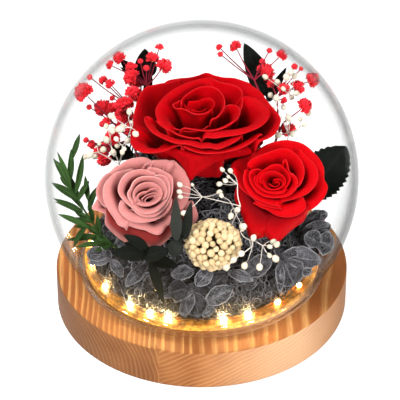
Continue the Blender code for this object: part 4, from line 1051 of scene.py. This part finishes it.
def petal_surface(rose, order, design, columns, rows, foot_radius, foot_level):
    """Points of a petal from its foot to its rim, with how far along and across each lies."""
    spots, heights, lean, drop, curl = design[:5]
    curl *= rose["lip"]
    falls = "falls" in design
    rim = []
    for k, spot in enumerate(spots):
        s = k / (len(spots) - 1)
        if len(heights) > 3:
            height = heights[k]
        else:
            height = (heights[0] * (1 - s) * (1 - 2 * s) + heights[1] * 4 * s * (1 - s)
                      + heights[2] * s * (2 * s - 1))
        rim.append(rim_point(rose, spot, height))
    first = (rim[0] - rim[1]).normalized() * END_REACH - rim[0].normalized() * END_TUCK
    last = (rim[-1] - rim[-2]).normalized() * END_REACH - rim[-1].normalized() * END_TUCK
    fall = Vector((0, 0, END_DROP if not falls else 1.0))
    rim = [rim[0] + first - fall] + rim + [rim[-1] + last - fall]
    rim = curve(rim, 8)
    lengths = [0.0]
    for one, two in zip(rim, rim[1:]):
        lengths.append(lengths[-1] + (two - one).length)
    angles = [math.atan2(rim[0].y, rim[0].x)]
    for point in rim[1:]:
        turn = math.atan2(point.y, point.x) - angles[-1]
        angles.append(angles[-1] + (turn + math.pi) % math.tau - math.pi)
    middle = (min(angles) + max(angles)) / 2
    spread = max(angles) - min(angles)
    narrow = PETAL_FOOT + (1 - PETAL_FOOT) * min(1.0, max(0.0, (spread - 2.0) / 2.5))
    edge = min(math.hypot(p.x, p.y) for p in rim)
    points, along, across = [], [], []
    frame_of = rose_frame(rose)
    k = 0
    for column in range(columns + 1):
        u = column / columns
        reach = u * lengths[-1]
        while k < len(rim) - 2 and lengths[k + 1] < reach:
            k += 1
        part = min(1.0, (reach - lengths[k]) / max(lengths[k + 1] - lengths[k], 1e-6))
        spot = rim[k].lerp(rim[k + 1], part)
        angle = angles[k] + (angles[k + 1] - angles[k]) * part
        radius, height = math.hypot(spot.x, spot.y), spot.z
        start = Vector((min(foot_radius, 0.5 * edge), foot_level))
        front = (1 - spot.y / max(radius, 1e-6)) / 2
        roll = curl * (LIP_BACK + (1 - LIP_BACK) * front ** 1.3) * min(1.0, LIP_FADE * min(u, 1 - u))
        end = Vector((radius - LIP_OUT * roll, height + LIP_DOWN * roll))
        if falls:
            apex = Vector((lean, drop))
            middle_one, middle_two = Vector((0.6 * lean, foot_level + 4)), Vector((0.8 * lean, drop))
            outer_one = Vector((lean + 0.65 * (radius - lean) + 1.5, drop))
            outer_two = Vector((end.x + 0.6, height + 0.5 * (drop - height)))
        else:
            high = Vector((end.x - min(lean, 0.6 * radius), end.y - drop))
            low = Vector((start.x + 0.75 * (high.x - start.x), start.y + 0.06 * (high.y - start.y)))
        side = 2 * u - 1
        for row in range(rows + 1):
            t = row / rows
            if not falls:
                point = bezier(start, low, high, end, t)
            elif t < 0.5:
                point = bezier(start, middle_one, middle_two, apex, 2 * t)
            else:
                point = bezier(apex, outer_one, outer_two, end, 2 * t - 1)
            opened = math.sin(math.pi / 2 * min(1, t / PETAL_FULL))
            wide = narrow + (1 - narrow) * opened
            turn = middle + (angle - middle) * wide
            rolled = roll * max(0.0, (t - LIP_START) / (1 - LIP_START)) ** 1.8
            out, level = point.x + LIP_OUT * rolled, point.y - LIP_DOWN * rolled
            wrinkle = 0.35 * t * t * (1 - 0.5 * t) * math.sin(9 * side + 1.7 * order + 3 * t)
            wrinkle += 0.25 * t * math.sin(4.3 * side + 2.9 * order)
            out += wrinkle * min(1, radius / 12)
            place = frame_of @ Vector((out * math.cos(turn), out * math.sin(turn), level))
            points.append(place)
            # Painted light and shade: the foot of each petal is painted darker, the petals that face the front
            # are painted lighter higher up, and the power sets how far the painted shade climbs.
            along.append((t + rose["lift"] * front * (1 - t)) ** rose["fall"])
            across.append(side)
    return points, along, across


def strip_faces(columns, rows):
    tall = rows + 1
    return [(c * tall + r, (c + 1) * tall + r, (c + 1) * tall + r + 1, c * tall + r + 1)
            for c in range(columns) for r in range(rows)]


def petal(rose, order, design, stuff):
    columns, rows = 56, 24
    batch = Batch()
    level = 4.0 - rose["step"] * order
    points, along, across = petal_surface(rose, order, design, columns, rows, 2.6 + 0.25 * order, level)
    batch.add(points, strip_faces(columns, rows), along=along, across=across)
    node = "%s_petal_%02d" % (rose["name"], order + 1)
    covers = [node] if order < rose["nodes"] else ()
    make(batch, "soft_" + node, stuff, covers, PETAL_THICKNESS)


def heart(rose, stuff, green):
    """The petals still closed round the middle, the receptacle and the stem."""
    frame_of = rose_frame(rose)
    columns, rows = 56, 18
    batch = Batch()
    for order, design in enumerate(rose["bud"]):
        points, along, across = petal_surface(rose, order, design, columns, rows, 1.2 + 0.3 * order, 6.0)
        # The closed heart is painted darker: its petals run only part of the way from the painted shade at the
        # foot to the face colour.
        low, high = rose["bud_shade_from"], rose["bud_shade_to"]
        batch.add(points, strip_faces(columns, rows), along=[low + (high - low) * t for t in along],
                  across=across)
    make(batch, rose["name"] + "_bud", stuff, [rose["name"] + "_heart"], 0.4)
    under = Batch()
    bottom = 3.0 - rose["step"] * len(rose["petals"])
    root = Vector(rose["root"])
    below = frame_of @ Vector((0, 0, bottom - 1.5))
    path = curve([root, root.lerp(below, 0.6), below, frame_of @ Vector((0, 0, 8.0))], 6)
    under.add(*tube(path, [1.3] * 14 + [2.2] * (len(path) - 14), 10), along=0.5, across=0.5, tone=0.3)
    make(under, rose["name"] + "_stem", green)
    sepals = Batch()
    wide = 9
    for k in range(5):
        a0 = math.tau * k / 5
        points, along, across = [], [], []
        for row in range(wide + 1):
            for column in range(5):
                u, t = column / 2 - 1, row / wide
                radius = 1.8 + 10.0 * math.sin(t * 1.3)
                half = 3.0 * (1 - t) ** 0.6 * (0.6 + t)
                a = a0 + u * half / max(radius, 3.0)
                level = bottom - 1.0 + 5.5 * t * t
                points.append(frame_of @ Vector((radius * math.cos(a), radius * math.sin(a), level)))
                along.append(t)
                across.append(u)
        sepals.add(points, grid_faces(4, wide), along=along, across=across, tone=0.4)
    make(sepals, rose["name"] + "_sepals", green, (), 0.4)


def frilly_head(batch, centre, axis, radius, rng):
    """A double flower: small curled petals that stand out all round a ball."""
    axis = axis.normalized()
    side = axis.orthogonal().normalized()
    other = axis.cross(side)
    count = int(16 + 9 * radius)
    golden = math.pi * (3 - math.sqrt(5))
    batch.add(*ball(centre, radius * 0.55, 6, 8), tone=0.15)
    for k in range(count):
        polar = math.radians(128) * math.sqrt((k + 0.5) / count)
        a = golden * k + rng.uniform(-0.3, 0.3)
        out = (side * math.cos(a) + other * math.sin(a)) * math.sin(polar) + axis * math.cos(polar)
        left = out.cross(axis if abs(out.dot(axis)) < 0.95 else side).normalized()
        up = left.cross(out).normalized()
        twist = rng.uniform(-1.2, 1.2)
        left, up = (left * math.cos(twist) + up * math.sin(twist),
                    up * math.cos(twist) - left * math.sin(twist))
        reach = radius * rng.uniform(0.88, 1.08)
        half = radius * rng.uniform(0.26, 0.36)
        curl = radius * rng.uniform(0.10, 0.30)
        points = []
        for row in range(4):
            t = row / 3
            for column in range(4):
                u = 2 * column / 3 - 1
                jag = 0.09 * radius * (1 if column % 2 else -1) * (t == 1)
                points.append(centre + out * (reach * (0.35 + 0.65 * t) + jag - 0.10 * radius * u * u)
                              + left * half * u * (0.35 + 0.65 * t) + up * curl * (t * t - 0.5 * u * u * t))
        batch.add(points, grid_faces(3, 3), tone=rng.uniform(0.3, 1.0))


def spray(name, design, head_stuff, stem_stuff, replaces, frilly, seed):
    """Thin stems that fork from one trunk in the moss and carry a head each."""
    rng = random.Random(seed)
    root = Vector(design["root"])
    trunk = pictured(*design["trunk"])
    forks = [(pictured(*fork), fork) for fork in design["forks"]]
    heads, stems = Batch(), Batch()
    thick = 0.34 if frilly else 0.18

    def stem(points, first, last):
        path = curve(points, 5)
        radii = [first + (last - first) * k / (len(path) - 1) for k in range(len(path))]
        stems.add(*tube(path, radii, 5), tone=rng.random())

    middle = root.lerp(trunk, 0.5) + Vector((rng.uniform(-1, 1), rng.uniform(-1, 1), 0))
    stem([root, middle, trunk], thick * 2.2, thick * 1.7)
    for place, fork in forks:
        bend = trunk.lerp(place, 0.5) + Vector([rng.uniform(-0.8, 0.8) for _ in range(3)])
        stem([trunk, bend, place], thick * 1.6, thick * 1.2)
        stems.add(*ball(place, thick * 1.5, 4, 6), tone=0.5)
    for across, down, size in design["heads"]:
        radius = size / PHOTO_SCALE
        guess = pictured(across, down, 5 if frilly else 0)
        place, fork = min(forks, key=lambda f: math.hypot(f[1][0] - across, f[1][1] - down))
        back = fork[2] + rng.uniform(-4, 4)
        if not frilly and name.endswith(("centre", "right")):
            back = fork[2] - rng.uniform(0, 5)
        centre = pictured(across, down, back)
        aim = (centre - place).normalized()
        if aim.length < 0.5:
            aim = Vector((0, -0.5, 0.8))
        joint = place.lerp(centre, rng.uniform(0.35, 0.6)) + Vector([rng.uniform(-0.9, 0.9) for _ in range(3)])
        stem([place, joint, centre - aim * radius * 0.6], thick * 1.1, thick * 0.75)
        if frilly and radius > 1.75:
            frilly_head(heads, centre, aim, radius, rng)
        elif frilly:
            heads.add(*ball(centre, radius * 0.8, 6, 8, 1.1, aim), tone=0.6)
            frilly_head(heads, centre, aim, radius, rng)
        else:
            heads.add(*ball(centre, radius * 0.92, 8, 10, 1.12, aim), tone=rng.uniform(0.4, 1.0))
            for k in range(3):
                shift = Vector([rng.uniform(-1, 1) for _ in range(3)]) * radius * 0.35
                heads.add(*ball(centre + aim * radius * 0.25 + shift, radius * 0.62, 5, 7),
                          tone=rng.uniform(0.4, 1.0))
        if not frilly:
            stems.add(*ball(centre - aim * radius * 0.95, thick * 1.7, 4, 6, 1.4, aim), tone=0.5)
    make(heads, name + "_heads", head_stuff, replaces, 0.10 if frilly else 0.0)
    make(stems, name + "_stems", stem_stuff)


def leaf(batch, base, tip, width, facing, tone, bend=0.08, teeth=0, shape=0.75, cup=0.15):
    """A leaf from its base to its tip that arches towards its face and folds along its midrib."""
    columns, rows = 10, 22 if not teeth else 54
    along = tip - base
    length = along.length
    across = along.cross(facing).normalized()
    face = across.cross(along).normalized()
    points, run, side = [], [], []
    for row in range(rows + 1):
        t = row / rows
        half = width / 2 * math.sin(math.pi * t ** shape) ** 0.75
        if teeth:
            half *= 1 + 0.16 * ((t * teeth) % 1.0) - 0.08
        middle = base + along * t + face * bend * length * math.sin(math.pi * t)
        for column in range(columns + 1):
            u = 2 * column / columns - 1
            rise = cup * half * abs(u) ** 1.4 + 0.03 * width * math.sin(9 * t + 2 * u)
            points.append(middle + across * half * u + face * rise)
            run.append(t)
            side.append(u)
    batch.add(points, grid_faces(columns, rows), along=run, across=side, tone=tone)


def leafy(name, design, stuff, replaces, teeth=0, shape=0.75, outward=0.5):
    """Leaves on one stem from the moss."""
    batch, stems = Batch(), Batch()
    root = Vector(design["root"])
    starts = [pictured(*item[0]) for item in design["leaves"]]
    meeting = sum(starts, Vector()) / len(starts)
    towards = (seen(0, 0, -1) - seen(0, 0, 0)) * 0.8 + Vector((0, 0, outward))
    path = curve([root, root.lerp(meeting, 0.6), meeting], 6)
    stems.add(*tube(path, [0.6] * len(path), 6), tone=0.3, along=0.3, across=0.5)
    for start, (_, end, width, tone) in zip(starts, design["leaves"]):
        tip = pictured(*end)
        begin = start + (tip - start) * 0.06
        stems.add(*tube([meeting, meeting.lerp(begin, 0.5), begin], [0.5, 0.45, 0.35], 6),
                  tone=0.3, along=0.3, across=0.5)
        leaf(batch, start, tip, width / PHOTO_SCALE, towards, tone, 0.07, teeth, shape)
    make(batch, name + "_leaves", stuff, replaces, 0.35)
    make(stems, name + "_stalks", stuff)


def needle_sprig(stuff):
    batch, stems = Batch(), Batch()
    root = Vector((-37.0, -20.0, 40.0))
    path = curve([root] + [pictured(*p) for p in NEEDLE_STEM], 5)
    radii = [0.75 - 0.45 * k / (len(path) - 1) for k in range(len(path))]
    stems.add(*tube(path, radii, 6), tone=0.5, along=0.3, across=0.5)
    towards = seen(0, 0, -1) - seen(0, 0, 0)
    rng = random.Random(5)
    for start, end, width in NEEDLES:
        base, tip = pictured(*start), pictured(*end)
        facing = towards + Vector((rng.uniform(-0.5, 0.5), rng.uniform(-0.3, 0.3), rng.uniform(0, 0.7)))
        leaf(batch, base, tip, 1.2 * width / PHOTO_SCALE, facing, rng.uniform(0.2, 1.0),
             rng.uniform(0.02, 0.10), 0, 0.85, 0.35)
    make(batch, "needle_sprig_leaves", stuff, ["needle_sprig"], 0.3)
    make(stems, "needle_sprig_stalk", stuff)


def sepal(batch, base, tip, width, tone, blunt, lift, seed):
    """One broad papery petal, ragged and gently crumpled, from its base to its tip."""
    rng = random.Random(seed)
    columns, rows = 14, 20
    along = tip - base
    length = along.length
    towards = (seen(0, 0, -1) - seen(0, 0, 0)).normalized()
    facing = (towards + Vector((rng.uniform(-0.25, 0.25), 0, 0.25 + lift * 0.5))).normalized()
    across = along.cross(facing).normalized()
    face = across.cross(along).normalized()
    phase = [rng.uniform(0, 6) for _ in range(5)]
    cup = rng.uniform(0.10, 0.30)
    points, run, side = [], [], []
    for row in range(rows + 1):
        t = row / rows
        round_tip = math.sqrt(max(0.0, 1 - ((t - 0.5) / 0.5) ** 2)) if t > 0.5 else 1.0
        sharp_tip = math.sin(math.pi * min(1.0, (1 - t) * 0.9 + 0.05)) ** 1.1 if t > 0.5 else 1.0
        opening = math.sin(math.pi / 2 * min(1.0, t / 0.5)) ** 0.8
        half = width / 2 * opening * (blunt * round_tip + (1 - blunt) * sharp_tip) + 0.06 * width * (1 - t)
        for column in range(columns + 1):
            u = 2 * column / columns - 1
            edge = 1 + 0.05 * math.sin(13 * t + phase[0] + 2 * u) + 0.03 * math.sin(29 * t + phase[1])
            out = u * half * edge
            rise = cup * width * (0.35 * abs(u) ** 1.8 + 0.5 * math.sin(math.pi * t) * 0.5)
            rise += 0.05 * width * math.sin(5 * t + 3 * u + phase[2]) * t
            rise += 0.03 * width * math.sin(11 * t - 6 * u + phase[3])
            rise -= 0.05 * width * math.exp(-(u / 0.12) ** 2)
            points.append(base + along * t + across * out + face * (rise - 0.12 * length * t * t))
            run.append(t)
            side.append(u)
    batch.add(points, grid_faces(columns, rows), along=run, across=side, tone=tone)


def floret(order, design, stuff, stem_stuff):
    """A floret of the front: its petals, small middle and stalk."""
    batch, stalk = Batch(), Batch()
    for k, (base, tip, width, tone, blunt, lift) in enumerate(design["petals"]):
        sepal(batch, pictured(*base), pictured(*tip), width / PHOTO_SCALE, tone, blunt, lift,
              100 * order + k)
    node = "hydrangea_floret_%d" % (order + 1)
    make(batch, "soft_" + node, stuff, [node], 0.3)
    centre = pictured(*design["middle"])
    axis = (centre - Vector(FLORET_AIM)).normalized()
    stalk.add(*tube([centre - axis * FLORET_STEM_LENGTH, centre - axis * 5, centre], [0.5] * 3, 6), tone=0.3)
    stalk.add(*ball(centre + axis * 0.4, 0.8, 6, 8), tone=0.6)
    for base, *_ in design["petals"]:
        root = pictured(*base)
        inner = root - (root - Vector(FLORET_AIM)).normalized() * 9
        stalk.add(*tube([inner, root], [0.35, 0.3], 5), tone=0.3)
    make(stalk, node + "_stalk", stem_stuff)


def back_floret(order, design, stuff, stem_stuff):
    """A floret of the back: four broad overlapping petals round a small middle."""
    place, radius, turn, tone = design
    rng = random.Random(40 + order)
    centre = seen(*place)
    axis = (centre - Vector(FLORET_AIM)).normalized()
    side = axis.orthogonal().normalized()
    other = axis.cross(side)
    columns, rows = 14, 14
    batch = Batch()
    for quarter in range(4):
        a = math.radians(90 * quarter + turn + rng.uniform(-8, 8))
        out = side * math.cos(a) + other * math.sin(a)
        left = axis.cross(out)
        tilt = rng.uniform(0.10, 0.34)
        size = radius * rng.uniform(0.94, 1.10)
        phase = rng.uniform(0, 6)
        points, along, across = [], [], []
        for row in range(rows + 1):
            t = row / rows
            half = 0.62 * size * math.sin(math.pi * min(0.97, 0.04 + 0.93 * t) ** 0.95) ** 0.55
            half = max(half, 0.02 * size)
            for column in range(columns + 1):
                u = 2 * column / columns - 1
                notch = 0.05 * size * math.exp(-(u / 0.2) ** 2) * t ** 6
                bulge = size * (tilt * t + 0.10 * math.sin(math.pi * t) - 0.10 * t * t)
                bulge += size * 0.16 * abs(u) ** 2 * t
                bulge += 0.04 * size * t * math.sin(6 * u + phase) + 0.02 * size * math.sin(14 * t + phase)
                bulge += 0.03 * size * ((quarter % 2) - 0.5)
                points.append(centre + out * (size * t - notch) + left * half * u + axis * bulge)
                along.append(t)
                across.append(u)
        batch.add(points, grid_faces(columns, rows), along=along, across=across,
                  tone=tone * rng.uniform(0.85, 1.15))
    node = "hydrangea_floret_%d" % (order + 1)
    make(batch, "soft_" + node, stuff, [node], 0.3)
    stalk = Batch()
    stalk.add(*tube([centre - axis * FLORET_STEM_LENGTH, centre - axis * 5, centre], [0.5] * 3, 6), tone=0.3)
    stalk.add(*ball(centre + axis * 0.5, 0.9, 6, 8), tone=0.6)
    make(stalk, node + "_stalk", stem_stuff)


def rice_flower(berry, stem_stuff):
    """A round head of small berries, each on a short stalk from one stem."""
    rng = random.Random(8)
    centre = seen(*RICE_CENTRE)
    axis = Vector(RICE_AXIS).normalized()
    side = axis.orthogonal().normalized()
    other = axis.cross(side)
    batch, stems = Batch(), Batch()
    golden = math.pi * (3 - math.sqrt(5))
    root = Vector(RICE_ROOT)
    upward = seen(0, 1, 0) - seen(0, 0, 0)
    for k in range(RICE_BERRIES):
        polar = math.radians(104) * math.sqrt((k + 0.5) / RICE_BERRIES)
        a = golden * k + rng.uniform(-0.08, 0.08)
        out = (side * math.cos(a) + other * math.sin(a)) * math.sin(polar)
        place = centre + out * (RICE_RADIUS + 0.6) + axis * math.cos(polar) * (RICE_DEPTH + 0.8)
        place += (out + axis * math.cos(polar)) * rng.uniform(-0.6, 0.4)
        rise = (place - centre).dot(upward)
        place -= upward * max(rise, 0.0) * RICE_FLAT
        radius = rng.uniform(1.35, 1.95)
        batch.add(*ball(place, radius, 9, 12, rng.uniform(1.0, 1.12), out + axis * 0.3),
                  tone=rng.uniform(0.2, 1.0))
        inner = centre - axis * 3
        stems.add(*tube([inner, inner.lerp(place, 0.85)], [0.3, 0.25], 4), tone=0.4)
    path = curve([root, root.lerp(centre, 0.5), centre], 5)
    stems.add(*tube(path, [0.8] * len(path), 8), tone=0.3)
    make(batch, "rice_flower_berries", berry, ["rice_flower"])
    make(stems, "rice_flower_stalks", stem_stuff)


def underside(plastic):
    for name in ("battery_cover", "light_switch"):
        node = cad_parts[name]
        node.data.materials.clear()
        node.data.materials.append(plastic)


def studio():
    """Pale floor, soft lights and the camera at the photograph's angle."""
    floor = Batch()
    floor.add(*turned([(0, 0), (FLOOR_RADIUS, 0)], 96))
    s = Stuff("floor")
    tone = s.noise(s.place(), 0.01)
    s.set(Base_Color=s.ramp(tone, [(0.0, 0.40), (1.0, 0.42)]), Roughness=0.6,
          Emission_Color=(1, 1, 1, 1),
          Emission_Strength=s.sum("MULTIPLY_ADD", s.node("LightPath").outputs["Is Camera Ray"], 0.55, 0.25))
    mesh = bpy.data.meshes.new("floor")
    mesh.from_pydata([(x * MM, y * MM, z * MM) for x, y, z in floor.points], [], floor.faces)
    mesh.materials.append(s.material)
    ground = bpy.data.objects.new("floor", mesh)
    bpy.context.scene.collection.objects.link(ground)

    world = bpy.data.worlds.new("studio")
    bpy.context.scene.world = world
    world.use_nodes = True
    tree = world.node_tree
    where = tree.nodes.new("ShaderNodeTexCoord")
    split = tree.nodes.new("ShaderNodeSeparateXYZ")
    ramp = tree.nodes.new("ShaderNodeValToRGB")
    stops = ramp.color_ramp.elements
    stops[0].position, stops[0].color = 0.0, (0.10, 0.10, 0.10, 1)
    stops[1].position, stops[1].color = 0.9, (0.42, 0.42, 0.42, 1)
    low = stops.new(0.3)
    low.color = (0.16, 0.16, 0.165, 1)
    side = tree.nodes.new("ShaderNodeMapRange")
    side.inputs["From Min"].default_value = -0.9
    side.inputs["From Max"].default_value = 0.6
    side.inputs["To Min"].default_value = 3.0
    side.inputs["To Max"].default_value = 0.7
    scale = tree.nodes.new("ShaderNodeVectorMath")
    scale.operation = "SCALE"
    tree.links.new(where.outputs["Generated"], split.inputs[0])
    tree.links.new(split.outputs["Z"], ramp.inputs[0])
    tree.links.new(split.outputs["X"], side.inputs["Value"])
    tree.links.new(ramp.outputs[0], scale.inputs[0])
    tree.links.new(side.outputs[0], scale.inputs["Scale"])
    tree.links.new(scale.outputs[0], tree.nodes["Background"].inputs["Color"])
    tree.nodes["Background"].inputs["Strength"].default_value = 0.7

    for name, place, size, power in (("key", (-600, -500, 1200), 600, 25.0),
                                     ("fill", (650, -1000, 420), 500, 20.0),
                                     ("top", (0, 300, 1300), 800, 5.0)):
        light = bpy.data.lights.new(name, "AREA")
        light.size = size * MM
        light.energy = power
        lamp = bpy.data.objects.new(name, light)
        lamp.visible_glossy = False
        lamp.visible_transmission = False
        lamp.location = Vector(place) * MM
        aim = Vector((0, 0, 70 * MM)) - lamp.location
        lamp.rotation_euler = aim.to_track_quat("-Z", "Y").to_euler()
        bpy.context.scene.collection.objects.link(lamp)

    camera = bpy.data.cameras.new("camera")
    camera.lens = LENS
    camera.sensor_width = SENSOR
    eye = bpy.data.objects.new("camera", camera)
    eye.location = Vector(CAMERA_PLACE) * MM
    eye.rotation_euler = (math.pi / 2 - CAMERA_TILT, 0, 0)
    bpy.context.scene.collection.objects.link(eye)
    bpy.context.scene.camera = eye
    bpy.context.scene.view_settings.view_transform = "Standard"
    glow()


def glow():
    """A soft bloom round the lamps, far brighter than anything else."""
    scene = bpy.context.scene
    scene.use_nodes = True
    tree = scene.node_tree
    tree.nodes.clear()
    layers = tree.nodes.new("CompositorNodeRLayers")
    glare = tree.nodes.new("CompositorNodeGlare")
    glare.glare_type = "BLOOM"
    glare.quality = "HIGH"
    glare.inputs["Threshold"].default_value = 8.0
    glare.inputs["Strength"].default_value = 0.045
    glare.inputs["Size"].default_value = 0.25
    out = tree.nodes.new("CompositorNodeComposite")
    tree.links.new(layers.outputs["Image"], glare.inputs["Image"])
    tree.links.new(glare.outputs["Image"], out.inputs["Image"])


def main():
    # Petal looks: the painted shade at the foot, the face colour, a painted highlight at the rim, the sheen tint
    # and how far light scatters; the pink one also has painted shade that darkens it from its left to its right.
    red = petal_stuff("deep_red_petal", (0.05, 0.0, 0.001), (0.365, 0.0006, 0.003), (0.44, 0.008, 0.011),
                      (1.0, 0.12, 0.10), (1.0, 0.1, 0.05))
    bright = petal_stuff("red_petal", (0.04, 0.0, 0.001), (0.43, 0.0008, 0.003), (0.52, 0.010, 0.014),
                         (1.0, 0.12, 0.10), (1.0, 0.1, 0.05))
    pink = petal_stuff("pink_petal", (0.17, 0.018, 0.016), (0.51, 0.190, 0.178), (0.68, 0.36, 0.34),
                       (1.0, 0.8, 0.75), (1.0, 0.4, 0.3), (-46.0, -14.0, 0.86))
    green = leaf_stuff("needle_leaf", (0.003, 0.013, 0.003), (0.040, 0.088, 0.022), (0.10, 0.16, 0.06))
    ruscus = leaf_stuff("ruscus_leaf", (0.002, 0.003, 0.002), (0.026, 0.028, 0.023), (0.022, 0.024, 0.020))
    dark_leaf = leaf_stuff("dark_leaf", (0.002, 0.003, 0.002), (0.010, 0.012, 0.010), (0.012, 0.014, 0.012))
    calyx = leaf_stuff("calyx", (0.012, 0.020, 0.008), (0.05, 0.07, 0.03), (0.05, 0.07, 0.03))
    grey = hydrangea_stuff()
    moss_ground = plain_stuff("moss_ground", (0.004, 0.004, 0.005), (0.014, 0.013, 0.015), 0.8, 0.9, 0.05)
    moss_strand = plain_stuff("moss_strand", (0.002, 0.002, 0.002), (0.42, 0.41, 0.43), 0.4, 0.75, 0.05)
    red_head = plain_stuff("red_head", (0.50, 0.006, 0.013), (0.95, 0.040, 0.060), 1.0, 0.6, sheen=0.04,
                           through=0.1)
    red_stem = plain_stuff("red_stem", (0.10, 0.005, 0.015), (0.30, 0.02, 0.04))
    white_head = plain_stuff("white_head", (0.46, 0.38, 0.26), (0.74, 0.69, 0.58), 1.0, through=0.1)
    white_stem = plain_stuff("white_stem", (0.42, 0.38, 0.33), (0.74, 0.69, 0.63))
    berry = plain_stuff("berry", (0.42, 0.29, 0.13), (0.73, 0.58, 0.36), 0.7, 0.5, through=0.12)
    straw = plain_stuff("straw", (0.10, 0.075, 0.035), (0.25, 0.19, 0.10))
    charcoal = plain_stuff("charcoal_stem", (0.02, 0.02, 0.02), (0.07, 0.07, 0.07))
    plastic = plain_stuff("black_plastic", (0.012, 0.012, 0.012), (0.022, 0.022, 0.022), 2.0, 0.45)

    studio()
    wooden_base(wood_stuff())
    underside(plastic)
    glass_dome(glass_stuff())
    light_string(lamp_stuff(), metal_stuff())
    moss(moss_ground, moss_strand)
    for rose, stuff in ((LARGE_ROSE, red), (RIGHT_ROSE, bright), (PINK_ROSE, pink)):
        heart(rose, stuff, calyx)
        for order, design in enumerate(rose["petals"]):
            petal(rose, order, design, stuff)
    for place, design, seed in (("left", RED_LEFT, 1), ("right", RED_RIGHT, 2)):
        name = "red_babys_breath_" + place
        spray(name, design, red_head, red_stem, [name], True, seed)
    for place, design, seed in (("left", WHITE_LEFT, 3), ("centre", WHITE_CENTRE, 4),
                                ("right", WHITE_RIGHT, 5), ("back", WHITE_BACK, 6)):
        name = "white_babys_breath_" + place
        spray(name, design, white_head, white_stem, [name], False, seed)
    needle_sprig(green)
    leafy("ruscus_sprig_tall", RUSCUS_TALL, ruscus, ["ruscus_sprig_tall"])
    leafy("ruscus_sprig_low", RUSCUS_LOW, dark_leaf, ["ruscus_sprig_low"])
    leafy("dark_leaf_left", DARK_LEFT, dark_leaf, ["dark_leaf_left"])
    leafy("dark_leaf_right", DARK_RIGHT, dark_leaf, ["dark_leaf_right"])
    leafy("rose_leaf", ROSE_LEAF, dark_leaf, ["rose_leaf"], 14, 1.15)
    for order, design in enumerate(FLORETS):
        floret(order, design, grey, charcoal)
    for order, design in enumerate(BACK_FLORETS):
        back_floret(len(FLORETS) + order, design, grey, charcoal)
    rice_flower(berry, straw)


main()
